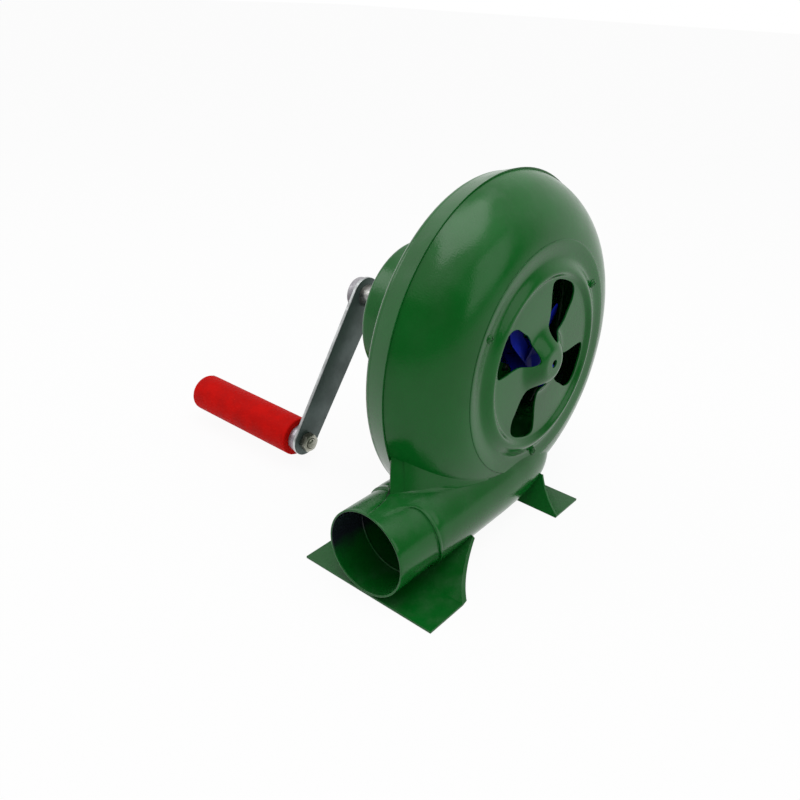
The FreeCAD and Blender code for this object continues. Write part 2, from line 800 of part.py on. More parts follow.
def make_impeller():
    """Six straight paddles on a hub, tied by a small disc at the back."""
    body = new_body("impeller", z="fan_height")
    body.Placement = Placement(Vector(), Rotation(Vector(0, 1, 0), SIZES["blade_angle"]))
    place(body, z="fan_height")
    body.setExpression("Placement.Rotation.Angle", bound("blade_angle"))
    bore = "fan_shaft_radius + fit_gap"
    front = "-blade_front"
    back = "blade_width - blade_front"
    hub = outline(new_sketch(body, "hub_wall"), [
        (bore, front),
        ("hub_radius", front),
        ("hub_radius", f"{back} - impeller_wall"),
        ("impeller_disc", f"{back} - impeller_wall"),
        ("impeller_disc", back),
        ("hub_radius", back),
        ("hub_radius", "block_front - step_gap"),
        (bore, "block_front - step_gap"),
    ])
    spin(body, "Revolution", hub)
    corner = "blade_width / 3"
    paddle = outline(new_sketch(body, "paddle"), [
        ("hub_radius - 1", front),
        (f"blade_radius - {corner}", front),
        ("blade_radius", f"{front} + {corner}", -1, corner),
        ("blade_radius", back),
        ("hub_radius - 1", back),
    ])
    blade = body.newObject("PartDesign::Pad", "blade")
    blade.Profile = paddle
    blade.SideType = "Symmetric"
    blade.setExpression("Length", bound("blade_wall"))
    repeat_round(body, blade, "blade_count")
    return body


def make_rotor_fittings():
    """Shaft, washer and nut of the impeller."""
    turned("fan_shaft", [
        (0, "-fan_shaft_front"),
        ("fan_shaft_radius", "-fan_shaft_front"),
        ("fan_shaft_radius", "block_end + step_gap"),
        ("fan_end_radius", "block_end + step_gap"),
        ("fan_end_radius", "lay_pinion_start + pinion_extra"),
        (0, "lay_pinion_start + pinion_extra"),
    ])
    bore = "fan_shaft_radius + fit_gap"
    turned_tube("fan_washer", bore, "washer_radius", "-blade_front - washer_wall", "-blade_front")
    make_nut("fan_nut", "nut_flat", "nut_height", bore,
             "-blade_front - washer_wall - nut_height")


def make_gear_plate():
    """Plate on the back of the housing that carries the bearing block and the lay axle."""
    body = turned_tube("gear_plate", 0, "plate_radius", "back_depth", "plate_back",
                       z="crank_height")
    drill(body, "plate_block_hole", [(0, "-crank_rise")], "block_radius + fit_gap")
    drill(body, "plate_axle_hole", [("lay_offset", "-crank_rise / 2")], "axle_radius + fit_gap")
    drill(body, "plate_drum_holes", drum_screw_spots(0), "drum_screw_radius + fit_gap")
    drill(body, "plate_rivet_holes", rivet_spots("-crank_rise"), "rivet_radius + fit_gap")
    return body


def make_bearing_block():
    """Flanged tube that holds the two fan bushes."""
    seat = "bush_radius + fit_gap"
    body = turned("bearing_block", [
        (seat, "block_front"),
        ("block_radius", "block_front"),
        ("block_radius", "plate_back"),
        ("block_flange", "plate_back"),
        ("block_flange", "plate_back + block_flange_wall"),
        ("block_radius", "plate_back + block_flange_wall"),
        ("block_radius", "block_end"),
        (seat, "block_end"),
        (seat, "block_end - bush_length"),
        ("fan_shaft_radius + 1", "block_end - bush_length"),
        ("fan_shaft_radius + 1", "block_front + bush_length"),
        (seat, "block_front + bush_length"),
    ])
    drill(body, "block_rivet_holes", rivet_spots(), "rivet_radius + fit_gap")
    bore = "fan_shaft_radius + run_gap"
    for number, start in enumerate(("block_front", "block_end - bush_length"), start=1):
        turned_tube(f"fan_bush_{number}", bore, "bush_radius", start, f"{start} + bush_length")
    return body


def make_rivets():
    """Rivets through the block flange, the plate and the back of the housing."""
    front = "back_depth - shell_wall"
    back = "plate_back + block_flange_wall"
    bend = dome_bend("rivet_head", "rivet_head_height")
    for number, (x, z) in enumerate(rivet_spots(), start=1):
        turned(f"block_rivet_{number}", [
            (0, f"{front} - rivet_head_height"),
            ("rivet_head", front, -1, bend),
            ("rivet_radius", front),
            ("rivet_radius", back),
            ("rivet_head", back),
            (0, f"{back} + rivet_head_height", -1, bend),
        ], x, f"fan_height + {z}")


def involute(angle):
    return math.tan(angle) - angle


def gear_solid(teeth, shift, bore, start, width, phase):
    """Spur gear along Y with 20 degree teeth; phase is the angle of a tooth from +X."""
    module = value("gear_module")
    pressure = math.radians(20)
    pitch_radius = module * teeth / 2
    base_radius = pitch_radius * math.cos(pressure)
    tip_radius = pitch_radius + module * (1 + shift)
    root_radius = pitch_radius - module * (1.25 - shift)
    thickness = module * (math.pi / 2 + 2 * shift * math.tan(pressure))
    pitch_half = (thickness - value("gear_backlash") / 2) / (2 * pitch_radius)

    def half_angle(radius):
        slope = math.acos(min(1, base_radius / radius))
        return pitch_half + involute(pressure) - involute(slope)

    def spot(radius, angle):
        return Vector(radius * math.cos(angle), start, radius * math.sin(angle))

    foot_radius = max(base_radius, root_radius)
    middle_radius = (foot_radius + tip_radius) / 2
    flank = [(radius, half_angle(radius)) for radius in (foot_radius, middle_radius, tip_radius)]
    edges = []
    step = 2 * math.pi / teeth
    for tooth in range(teeth):
        centre = phase + tooth * step
        rise = [spot(radius, centre - half) for radius, half in flank]
        fall = [spot(radius, centre + half) for radius, half in flank[::-1]]
        foot = flank[0][1]
        root_in = spot(root_radius, centre - foot)
        root_out = spot(root_radius, centre + foot)
        root_next = spot(root_radius, centre + step - foot)
        if root_radius < foot_radius:
            edges.append(Part.LineSegment(root_in, rise[0]).toShape())
        edges.append(Part.Arc(*rise).toShape())
        edges.append(Part.Arc(rise[2], spot(tip_radius, centre), fall[0]).toShape())
        edges.append(Part.Arc(*fall).toShape())
        if root_radius < foot_radius:
            edges.append(Part.LineSegment(fall[2], root_out).toShape())
        middle = spot(root_radius, centre + step / 2)
        edges.append(Part.Arc(root_out, middle, root_next).toShape())
    face = Part.Face(Part.Wire(edges))
    along = Vector(0, width, 0)
    hole = Part.makeCylinder(bore, width + 2, Vector(0, start - 1, 0), Vector(0, 1, 0))
    return face.extrude(along).cut(hole)


def code_part(label, shape, x=0, z="fan_height"):
    """Sub-part whose shape comes from code."""
    thing = doc.addObject("Part::Feature", label)
    thing.Shape = shape
    return keep(place(thing, x, 0, z), label)


def meshing_phase(phase, teeth, other_teeth, direction):
    """Tooth angle of a gear that meshes with another whose tooth stands at phase."""
    lead = (direction - phase) * teeth / other_teeth
    return direction + math.pi + lead + math.pi / other_teeth


def make_gears():
    """Two equal steps: crank wheel, lay pinion, lay wheel and fan pinion."""
    wheel = SIZES["wheel_teeth"]
    pinion = SIZES["pinion_teeth"]
    shift = value("pinion_shift")
    width = value("wheel_width")
    to_lay = math.atan2(-value("crank_rise") / 2, value("lay_offset"))
    from_lay = math.atan2(-value("crank_rise") / 2, -value("lay_offset"))
    crank_gear = gear_solid(wheel, -shift, value("crank_shaft_radius + fit_gap"),
                            value("crank_wheel_start"), width, 0)
    code_part("crank_gear", crank_gear, z="crank_height")
    lay_bore = value("axle_radius + run_gap")
    lay_wheel = gear_solid(wheel, -shift, lay_bore, value("lay_wheel_start"), width, 0)
    lay_start = value("lay_pinion_start")
    lay_pinion = gear_solid(pinion, shift, lay_bore, lay_start, value("lay_pinion_end") - lay_start,
                            meshing_phase(0, wheel, pinion, to_lay))
    code_part("lay_gear", lay_wheel.fuse(lay_pinion).removeSplitter(), "lay_offset", "lay_height")
    fan_pinion = gear_solid(pinion, shift, value("fan_end_radius + fit_gap"),
                            value("fan_pinion_start"), width + value("pinion_extra"),
                            meshing_phase(0, wheel, pinion, from_lay))
    code_part("fan_pinion", fan_pinion)


def make_lay_axle():
    """Fixed axle of the lay gear, shouldered against the plate, and its clip."""
    turned("lay_axle", [
        (0, "back_depth"),
        ("axle_radius", "back_depth"),
        ("axle_radius", "plate_back"),
        ("axle_shoulder", "plate_back"),
        ("axle_shoulder", "lay_wheel_start - step_gap"),
        ("axle_radius", "lay_wheel_start - step_gap"),
        ("axle_radius", "lay_pinion_end + 3 * clip_wall"),
        (0, "lay_pinion_end + 3 * clip_wall"),
    ], "lay_offset", "lay_height")
    start = "lay_pinion_end + step_gap"
    turned_tube("lay_clip", "axle_radius + fit_gap", "clip_radius", start, f"{start} + clip_wall",
                "lay_offset", "lay_height")


def make_gear_drum():
    """Deep pressed drum over the gears, with a welded boss for the crank bush."""
    seat = "crank_bush_radius + fit_gap"
    inner_end = "drum_end - drum_wall"
    body = turned("gear_drum", [
        ("drum_radius - drum_wall", "plate_back"),
        ("plate_radius", "plate_back"),
        ("plate_radius", "plate_back + drum_wall"),
        ("drum_radius", "plate_back + drum_wall"),
        ("drum_radius", "drum_end - drum_round"),
        ("drum_radius - drum_round", "drum_end", -1, "drum_round"),
        ("boss_radius", "drum_end"),
        ("boss_radius", "crank_bush_end"),
        (seat, "crank_bush_end"),
        (seat, "crank_bush_start"),
        ("boss_radius", "crank_bush_start"),
        ("boss_radius", inner_end),
        ("drum_radius - drum_round", inner_end),
        ("drum_radius - drum_wall", "drum_end - drum_round", 1, "drum_round - drum_wall"),
    ], z="crank_height")
    drill(body, "drum_holes", drum_screw_spots(0), "drum_screw_radius + fit_gap")
    turned_tube("crank_bush", "crank_shaft_radius + run_gap", "crank_bush_radius",
                "crank_bush_start", "crank_bush_end", z="crank_height")
    return body


def make_drum_screws():
    """Screws through the drum flange, with nuts inside the housing."""
    start = "back_depth - shell_wall - drum_nut_height - 1"
    nut_start = "back_depth - shell_wall - drum_nut_height"
    for number, (x, z) in enumerate(drum_screw_spots(0), start=1):
        height = f"crank_height + {z}"
        make_screw(f"drum_screw_{number}", "drum_screw_head", "drum_screw_head * 0.7",
                   "drum_screw_radius", start, "plate_back + drum_wall", x, height, False)
        make_nut(f"drum_nut_{number}", "drum_nut_flat", "drum_nut_height",
                 "drum_screw_radius + fit_gap", nut_start, x, height)


def make_crank():
    """Shaft, spacers, flat arm and boss."""
    bore = "crank_shaft_radius + fit_gap"
    turned_tube("crank_shaft", 0, "crank_shaft_radius", "crank_wheel_start - step_gap",
                "arm_back + crank_boss_height", z="crank_height")
    turned_tube("crank_spacer", bore, "crank_spacer_radius", "crank_wheel_end",
                "crank_bush_start - step_gap", z="crank_height")
    turned_tube("crank_sleeve", bore, "crank_sleeve_radius", "crank_bush_end + step_gap",
                "arm_face", z="crank_height")
    turned_tube("crank_boss", bore, "crank_boss_radius", "arm_back",
                "arm_back + crank_boss_height", z="crank_height")
    make_arm()


def make_arm():
    """Flat bar that tapers from the hub to the handle."""
    body = new_body("crank_arm", z="crank_height")
    body.Placement = Placement(Vector(), Rotation(Vector(0, 1, 0), SIZES["arm_angle"]))
    place(body, z="crank_height")
    body.setExpression("Placement.Rotation.Angle", bound("arm_angle"))
    sketch = new_sketch(body, "arm_outline", "XZ_Plane", lift="-arm_face")
    narrow = "((arm_hub_radius - arm_tip_radius) / arm_length)"
    side = f"sqrt(1 - {narrow} * {narrow})"
    hub_x = f"arm_hub_radius * {side}"
    hub_z = f"-arm_hub_radius * {narrow}"
    tip_x = f"arm_tip_radius * {side}"
    tip_z = f"-arm_length - arm_tip_radius * {narrow}"
    outline(sketch, [
        (0, "arm_hub_radius"),
        (f"-{hub_x}", hub_z, -1, "arm_hub_radius"),
        (f"-{tip_x}", tip_z),
        (0, "-arm_length - arm_tip_radius", -1, "arm_tip_radius"),
        (tip_x, tip_z, -1, "arm_tip_radius"),
        (hub_x, hub_z),
        (0, "arm_hub_radius", -1, "arm_hub_radius"),
    ][1:])
    ring(sketch, 0, 0, "crank_shaft_radius + fit_gap")
    ring(sketch, 0, "-arm_length", "bolt_radius + fit_gap")
    pad_back(body, sketch, "arm_wall")
    return body


def make_handle():
    """Bolt, nut, collar and the grip that turns on the bolt."""
    x, z = "handle_x", "handle_height"
    nut_start = "arm_face - handle_nut_height"
    floor = "grip_end - grip_recess_depth"
    head_start = f"{floor} + step_gap"
    turned("handle_bolt", [
        (0, f"{nut_start} - 1.5"),
        ("bolt_radius", f"{nut_start} - 1.5"),
        ("bolt_radius", head_start),
        ("bolt_head_radius", head_start),
        ("bolt_head_radius", f"{head_start} + bolt_head_height"),
        (0, f"{head_start} + bolt_head_height"),
    ], x, z)
    bore = "bolt_radius + fit_gap"
    make_nut("handle_nut", "handle_nut_flat", "handle_nut_height", bore, nut_start, x, z)
    turned_tube("grip_collar", bore, "grip_collar_radius", "arm_back", "collar_end", x, z)
    turned("red_grip", [
        ("bolt_radius + run_gap", "grip_start"),
        ("grip_radius - 1.5", "grip_start"),
        ("grip_radius", "grip_start + 1.5", -1, 1.5),
        ("grip_radius", "grip_end - grip_round"),
        ("grip_radius - grip_round", "grip_end", -1, "grip_round"),
        ("grip_recess_radius", "grip_end"),
        ("grip_recess_radius", floor),
        ("bolt_radius + run_gap", floor),
    ], x, z)


def check_model():
    """Stop if any object failed or any sub-part has no sound solid."""
    doc.recompute()
    for thing in doc.Objects:
        if "Invalid" in thing.State or "Error" in thing.State:
            raise RuntimeError(f"{thing.Label} did not build: {thing.State}")
    for node in nodes:
        shape = node.Shape
        if shape.isNull() or not shape.isValid() or not shape.Solids:
            raise RuntimeError(f"{node.Label} has no sound solid")


def write_parts():
    """One STEP file for each sub-part, named after it."""
    os.makedirs("parts", exist_ok=True)
    for node in nodes:
        node.Shape.exportStep(f"parts/{node.Label}.step")


make_intake_shell()
make_intake_cover()
make_gear_side_shell()
make_outlet_sleeve()
make_front_foot()
make_rear_foot()
make_face_screws()
make_impeller()
make_rotor_fittings()
make_gear_plate()
make_bearing_block()
make_rivets()
make_gears()
make_lay_axle()
make_gear_drum()
make_drum_screws()
make_crank()
make_handle()
check_model()
write_parts()
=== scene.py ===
"""Looks of a hand crank blower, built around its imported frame.

Lengths are metres in the part's own frame: +Z up, the outlet toward -X, the
grille toward -Y, the gear drum and the crank toward +Y.
"""
import logging
import math
from dataclasses import dataclass
from enum import Enum
from typing import Callable, Sequence

import bmesh
import bpy
from mathutils import Matrix, Vector, noise


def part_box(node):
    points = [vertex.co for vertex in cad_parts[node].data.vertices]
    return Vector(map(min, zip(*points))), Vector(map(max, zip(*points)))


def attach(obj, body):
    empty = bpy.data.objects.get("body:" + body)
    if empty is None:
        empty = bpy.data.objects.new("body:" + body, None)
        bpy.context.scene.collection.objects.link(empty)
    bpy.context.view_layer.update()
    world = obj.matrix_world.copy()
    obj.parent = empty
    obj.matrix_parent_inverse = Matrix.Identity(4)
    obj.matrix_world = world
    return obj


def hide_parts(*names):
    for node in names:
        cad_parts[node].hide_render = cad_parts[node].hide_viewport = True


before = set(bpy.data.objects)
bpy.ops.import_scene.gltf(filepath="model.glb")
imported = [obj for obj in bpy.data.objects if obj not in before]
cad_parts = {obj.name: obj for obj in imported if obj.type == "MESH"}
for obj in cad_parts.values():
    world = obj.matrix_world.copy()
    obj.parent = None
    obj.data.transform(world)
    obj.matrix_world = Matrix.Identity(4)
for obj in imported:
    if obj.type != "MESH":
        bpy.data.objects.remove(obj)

log = logging.getLogger("blower")

MM = 0.001

# Blender's startup objects aren't part of the model, so they go before it is measured.
for leftover in ("Cube", "Light", "Camera"):
    if leftover in bpy.data.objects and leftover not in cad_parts:
        bpy.data.objects.remove(bpy.data.objects[leftover])
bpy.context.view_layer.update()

Profile = list[tuple[float, float]]
Colour = tuple[float, float, float, float]


class Body(Enum):
    """Bodies of the part that carry new pieces."""

    HOUSING = "housing"
    ROTOR = "rotor"
    CRANK = "crank"
    GRIP = "grip"


class Slot(Enum):
    """Material slots of the record, passed along with new pieces."""

    ENAMEL = "green_enamel"
    PLATED = "plated_steel"
    CAST = "cast_alloy"
    DARK = "dark_steel"
    BLUE = "blue_plastic"
    RED = "red_plastic"


class Effect(Enum):
    """Shared shader effects, each one a node group."""

    EDGE_WEAR = "edge_wear"
    PAINT_FILM = "paint_film"
    FINE_GRAIN = "fine_grain"
    SETTLED_DUST = "settled_dust"


def held(value: float) -> float:
    """Hold a value from 0 to 1."""
    return max(0.0, min(1.0, value))


def eased(value: float) -> float:
    """Hold a value from 0 to 1 and level both ends of its run."""
    share = held(value)
    return share * share * (3 - 2 * share)


class Graph:
    """A node tree with short calls for adding and joining nodes."""

    def __init__(self, tree: bpy.types.NodeTree) -> None:
        """Keep the tree.

        Args:
            tree: the node tree that the calls add to.
        """
        self.tree = tree

    def add(self, kind: str, **settings: object) -> bpy.types.Node:
        """Add a node and set its plain properties.

        Args:
            kind: the node's type name after "ShaderNode".
            **settings: properties of the node by name.

        Returns:
            The new node.
        """
        node = self.tree.nodes.new("ShaderNode" + kind)
        for name, setting in settings.items():
            setattr(node, name, setting)
        return node

    def feed(self, target: bpy.types.NodeSocket, source: object) -> None:
        """Give a socket a link or a plain value.

        Args:
            target: the input socket.
            source: another node's output socket, or a value.
        """
        if isinstance(source, bpy.types.NodeSocket):
            self.tree.links.new(source, target)
        else:
            target.default_value = source

    def maths(self, operation: str, first: object, second: object = 0.0,
              clamp: bool = False) -> bpy.types.NodeSocket:
        """Add a Math node.

        Args:
            operation: its operation.
            first: the first number or socket.
            second: the second number or socket.
            clamp: whether the result is held from 0 to 1.

        Returns:
            The result's socket.
        """
        node = self.add("Math", operation=operation, use_clamp=clamp)
        self.feed(node.inputs[0], first)
        self.feed(node.inputs[1], second)
        return node.outputs[0]

    def spread(self, source: object, low: float, high: float,
               floor: float = 0.0, top: float = 1.0) -> bpy.types.NodeSocket:
        """Map a span of a value smoothly onto another.

        Args:
            source: the value's socket.
            low: the value that becomes floor.
            high: the value that becomes top.
            floor: the lowest result.
            top: the highest result.

        Returns:
            The result's socket.
        """
        node = self.add("MapRange", interpolation_type="SMOOTHSTEP")
        for slot, entry in zip(node.inputs, (source, low, high, floor, top)):
            self.feed(slot, entry)
        return node.outputs[0]

    def blend(self, share: object, first: object, second: object) -> bpy.types.NodeSocket:
        """Mix two colours.

        Args:
            share: how much of the second colour shows.
            first: the first colour or socket.
            second: the second colour or socket.

        Returns:
            The mixed colour's socket.
        """
        node = self.add("Mix", data_type="RGBA")
        self.feed(node.inputs["Factor"], share)
        self.feed(node.inputs[6], first)
        self.feed(node.inputs[7], second)
        return node.outputs[2]

    def cloud(self, where: object, scale: object, detail: float = 3.0,
              roughness: float = 0.55) -> bpy.types.NodeSocket:
        """Add a noise texture.

        Args:
            where: the coordinate's socket.
            scale: its frequency per metre.
            detail: its octaves.
            roughness: how strong the fine octaves are.

        Returns:
            The socket of its grey value.
        """
        node = self.add("TexNoise")
        self.feed(node.inputs["Vector"], where)
        self.feed(node.inputs["Scale"], scale)
        node.inputs["Detail"].default_value = detail
        node.inputs["Roughness"].default_value = roughness
        return node.outputs[0]

    def place(self) -> bpy.types.NodeSocket:
        """Socket of the object's own coordinates, which ride with its body."""
        return self.add("TexCoord").outputs["Object"]

    def effect(self, which: Effect, **values: object) -> bpy.types.Node:
        """Place a shared effect with its own values.

        Args:
            which: the effect.
            **values: its inputs by name, with underscores for spaces.

        Returns:
            The group node.
        """
        node = self.add("Group")
        node.node_tree = bpy.data.node_groups[which.value]
        for name, entry in values.items():
            self.feed(node.inputs[name.replace("_", " ")], entry)
        return node


def carve(graph: Graph, shader: bpy.types.Node, height: bpy.types.NodeSocket,
          normal: bpy.types.NodeSocket, strength: float, distance: float) -> None:
    """Give a shader fine relief on top of its rounded edges.

    Args:
        graph: the material's graph.
        shader: its shader node.
        height: the relief.
        normal: the normal with rounded edges.
        strength: how strong the relief is.
        distance: how deep it is.
    """
    bump = graph.add("Bump")
    bump.inputs["Strength"].default_value = strength
    bump.inputs["Distance"].default_value = distance
    graph.feed(bump.inputs["Height"], height)
    graph.feed(bump.inputs["Normal"], normal)
    graph.feed(shader.inputs["Normal"], bump.outputs[0])


def new_effect(which: Effect, inputs: dict[str, float],
               outputs: dict[str, str]) -> tuple[Graph, bpy.types.Node, bpy.types.Node]:
    """Start a shader node group.

    Args:
        which: the effect that it makes.
        inputs: names and first values of its number inputs.
        outputs: names and socket types of its outputs.

    Returns:
        The group's graph, its input node and its output node.
    """
    tree = bpy.data.node_groups.new(which.value, "ShaderNodeTree")
    for name, number in inputs.items():
        entry = tree.interface.new_socket(name, in_out="INPUT", socket_type="NodeSocketFloat")
        entry.default_value = number
    for name, kind in outputs.items():
        tree.interface.new_socket(name, in_out="OUTPUT", socket_type=kind)
    return Graph(tree), tree.nodes.new("NodeGroupInput"), tree.nodes.new("NodeGroupOutput")


def make_edge_wear() -> None:
    """Rounded edge normals, and a mask along the edges that breaks up as rubbed paint does."""
    graph, given, result = new_effect(
        Effect.EDGE_WEAR, {"Radius": 0.5 * MM, "Breakup": 400.0, "Reach": 0.12},
        {"Mask": "NodeSocketFloat", "Normal": "NodeSocketVector"})
    rounded = graph.add("Bevel", samples=6)
    graph.feed(rounded.inputs["Radius"], given.outputs["Radius"])
    flat = graph.add("NewGeometry")
    facing = graph.add("VectorMath", operation="DOT_PRODUCT")
    graph.feed(facing.inputs[0], rounded.outputs[0])
    graph.feed(facing.inputs[1], flat.outputs["Normal"])
    turn = graph.maths("SUBTRACT", 1.0, facing.outputs["Value"])
    patchy = graph.cloud(graph.place(), given.outputs["Breakup"], 4.0)
    turn = graph.maths("MULTIPLY", turn, graph.spread(patchy, 0.35, 0.6))
    share = graph.maths("DIVIDE", turn, given.outputs["Reach"], clamp=True)
    graph.feed(result.inputs["Mask"], share)
    graph.feed(result.inputs["Normal"], rounded.outputs[0])


def make_paint_film() -> None:
    """Sprayed gloss paint: fine orange peel, shallow dents of the pressed sheet, uneven depth."""
    graph, given, result = new_effect(
        Effect.PAINT_FILM, {"Peel Scale": 900.0, "Peel": 0.3, "Dents": 0.5},
        {"Height": "NodeSocketFloat", "Shade": "NodeSocketFloat"})
    where = graph.place()
    peel = graph.cloud(where, given.outputs["Peel Scale"], 1.0)
    dents = graph.cloud(where, 26.0, 1.5, 0.4)
    streaks = graph.cloud(where, 70.0, 2.0, 0.5)
    height = graph.maths("MULTIPLY", peel, given.outputs["Peel"])
    deep = graph.maths("MULTIPLY", dents, given.outputs["Dents"])
    fine = graph.maths("MULTIPLY", streaks, 0.08)
    graph.feed(result.inputs["Height"],
               graph.maths("ADD", height, graph.maths("ADD", deep, fine)))
    graph.feed(result.inputs["Shade"], graph.spread(graph.cloud(where, 14.0, 5.0), 0.3, 0.7))


def make_fine_grain() -> None:
    """Even grain of cast, plated or moulded surfaces, with a slower mottle on it."""
    graph, given, result = new_effect(
        Effect.FINE_GRAIN, {"Scale": 1500.0, "Mottle Scale": 120.0, "Stretch": 1.0},
        {"Height": "NodeSocketFloat", "Mottle": "NodeSocketFloat", "Specks": "NodeSocketFloat"})
    squeeze = graph.add("Mapping")
    graph.feed(squeeze.inputs["Vector"], graph.place())
    sides = graph.add("CombineXYZ")
    graph.feed(sides.inputs[0], 1.0)
    graph.feed(sides.inputs[1], given.outputs["Stretch"])
    graph.feed(sides.inputs[2], 1.0)
    graph.feed(squeeze.inputs["Scale"], sides.outputs[0])
    grain = graph.cloud(squeeze.outputs[0], given.outputs["Scale"], 2.0)
    graph.feed(result.inputs["Height"], grain)
    slow = graph.cloud(squeeze.outputs[0], given.outputs["Mottle Scale"], 4.0)
    graph.feed(result.inputs["Mottle"], graph.spread(slow, 0.3, 0.7))
    graph.feed(result.inputs["Specks"], graph.spread(grain, 0.62, 0.75))


def make_settled_dust() -> None:
    """Thin dust that lies on what faces up, thicker in patches."""
    graph, given, result = new_effect(
        Effect.SETTLED_DUST, {"Amount": 0.3, "Scale": 60.0}, {"Mask": "NodeSocketFloat"})
    facing = graph.add("SeparateXYZ")
    graph.feed(facing.inputs[0], graph.add("NewGeometry").outputs["Normal"])
    up = graph.spread(facing.outputs["Z"], 0.1, 1.0)
    patches = graph.spread(graph.cloud(graph.place(), given.outputs["Scale"], 5.0), 0.4, 0.75)
    both = graph.maths("MULTIPLY", up, patches)
    graph.feed(result.inputs["Mask"], graph.maths("MULTIPLY", both, given.outputs["Amount"]))


def new_material(name: str) -> tuple[bpy.types.Material, Graph, bpy.types.Node]:
    """Start a node material with one Principled shader.

    Args:
        name: the material's name.

    Returns:
        The material, its graph and its shader node.
    """
    material = bpy.data.materials.new(name)
    material.use_nodes = True
    return material, Graph(material.node_tree), material.node_tree.nodes["Principled BSDF"]


@dataclass(frozen=True)
class Enamel:
    """Glossy sprayed enamel on pressed steel."""

    name: str = "gloss_green_enamel"
    colour: Colour = (0.0026, 0.112, 0.013, 1.0)
    deep: Colour = (0.0016, 0.085, 0.008, 1.0)
    # paler green for the edges: rubbed paint and a painted edge highlight
    worn_and_highlight: Colour = (0.03, 0.15, 0.05, 1.0)
    dust: Colour = (0.16, 0.2, 0.17, 1.0)
    specular: float = 0.3
    roughness: float = 0.17
    edge: float = 0.55 * MM
    dents: float = 0.5

    def build(self) -> bpy.types.Material:
        """Make the material."""
        material, graph, shader = new_material(self.name)
        film = graph.effect(Effect.PAINT_FILM, Dents=self.dents)
        edge_node = graph.effect(Effect.EDGE_WEAR, Radius=self.edge, Reach=0.25)
        dust = graph.effect(Effect.SETTLED_DUST, Amount=0.1)
        paint = graph.blend(film.outputs["Shade"], self.deep, self.colour)
        # paler green along the edges, part rubbed paint and part painted highlight
        paint = graph.blend(edge_node.outputs["Mask"], paint, self.worn_and_highlight)
        paint = graph.blend(dust.outputs["Mask"], paint, self.dust)
        graph.feed(shader.inputs["Base Color"], self.tint(graph, paint))
        rough = graph.spread(graph.cloud(graph.place(), 45.0, 4.0), 0.3, 0.7,
                             self.roughness * 0.75, self.roughness * 1.35)
        graph.feed(shader.inputs["Roughness"],
                   graph.maths("ADD", rough, dust.outputs["Mask"]))
        shader.inputs["Specular IOR Level"].default_value = self.specular
        carve(graph, shader, film.outputs["Height"], edge_node.outputs["Normal"], 0.35, 0.6 * MM)
        return material

    def tint(self, graph: Graph, paint: bpy.types.NodeSocket) -> bpy.types.NodeSocket:
        """Leave the paint's colour as it is.

        Args:
            graph: the material's graph; not used.
            paint: the paint's colour.

        Returns:
            The colour's socket.
        """
        return paint


@dataclass(frozen=True)
class SleeveEnamel(Enamel):
    """Enamel of the sleeve, with painted shade that turns the upper part of its inside near-black
    and leaves green near its floor.
    """

    name: str = "sleeve_green_enamel"
    # near-black painted shade for the upper inside of the bore
    bare: Colour = (0.012, 0.016, 0.021, 1.0)
    axis_height: float = 0.0
    bore: float = 0.0
    shade_from: float = -12 * MM
    shade_to: float = 4 * MM
    drift: float = 14 * MM

    def tint(self, graph: Graph, paint: bpy.types.NodeSocket) -> bpy.types.NodeSocket:
        """Paint shade onto the upper inside as a near-black colour.

        Args:
            graph: the material's graph.
            paint: the paint's colour.

        Returns:
            The colour's socket.
        """
        parts = graph.add("SeparateXYZ")
        graph.feed(parts.inputs[0], graph.place())
        rise = graph.maths("SUBTRACT", parts.outputs["Z"], self.axis_height)
        reach = graph.maths("SQRT", graph.maths(
            "ADD", graph.maths("MULTIPLY", rise, rise),
            graph.maths("MULTIPLY", parts.outputs["Y"], parts.outputs["Y"])))
        inside = graph.maths("LESS_THAN", reach, self.bore + 0.3 * MM)
        drift = graph.maths("MULTIPLY", graph.cloud(graph.place(), 60.0, 3.0), self.drift)
        high = graph.spread(graph.maths("ADD", rise, drift), self.shade_from, self.shade_to)
        # painted shade: the upper inside of the bore turns near-black, its edge wandering with
        # noise
        return graph.blend(graph.maths("MULTIPLY", inside, high), paint, self.bare)


@dataclass(frozen=True)
class Grained:
    """Finish with a fine grain and a mottle of two tones."""

    name: str
    colour: Colour
    deep: Colour
    roughness: float
    grain: float = 0.15
    grain_scale: float = 1500.0
    stretch: float = 1.0
    mottle_scale: float = 120.0
    grain_depth: float = 0.3 * MM
    edge: float = 0.3 * MM
    breakup: float = 900.0
    edge_reach: float = 0.4
    dull: float = 1.25
    bright: float = 0.8

    def build(self) -> bpy.types.Material:
        """Make the material."""
        material, graph, shader = new_material(self.name)
        grain = graph.effect(Effect.FINE_GRAIN, Scale=self.grain_scale, Stretch=self.stretch,
                             Mottle_Scale=self.mottle_scale)
        edge_node = graph.effect(Effect.EDGE_WEAR, Radius=self.edge, Breakup=self.breakup,
                            Reach=self.edge_reach)
        tone = graph.blend(grain.outputs["Mottle"], self.deep, self.colour)
        graph.feed(shader.inputs["Roughness"],
                   graph.spread(grain.outputs["Mottle"], 0.0, 1.0,
                                self.roughness * self.dull, self.roughness * self.bright))
        carve(graph, shader, grain.outputs["Height"], edge_node.outputs["Normal"],
              self.grain, self.grain_depth)
        self.tint(graph, shader, tone, grain.outputs["Specks"], edge_node.outputs["Mask"])
        return material

    def tint(self, graph: Graph, shader: bpy.types.Node, tone: bpy.types.NodeSocket,
             specks: bpy.types.NodeSocket, rubbed: bpy.types.NodeSocket) -> None:
        """Colour the bare metal, with specks of its darker tone.

        Args:
            graph: the material's graph.
            shader: its shader node.
            tone: the mottled colour.
            specks: mask of the grain's peaks.
            rubbed: mask of the rubbed edges; not used.
        """
        graph.feed(shader.inputs["Base Color"], graph.blend(specks, tone, self.deep))
        shader.inputs["Metallic"].default_value = 1.0


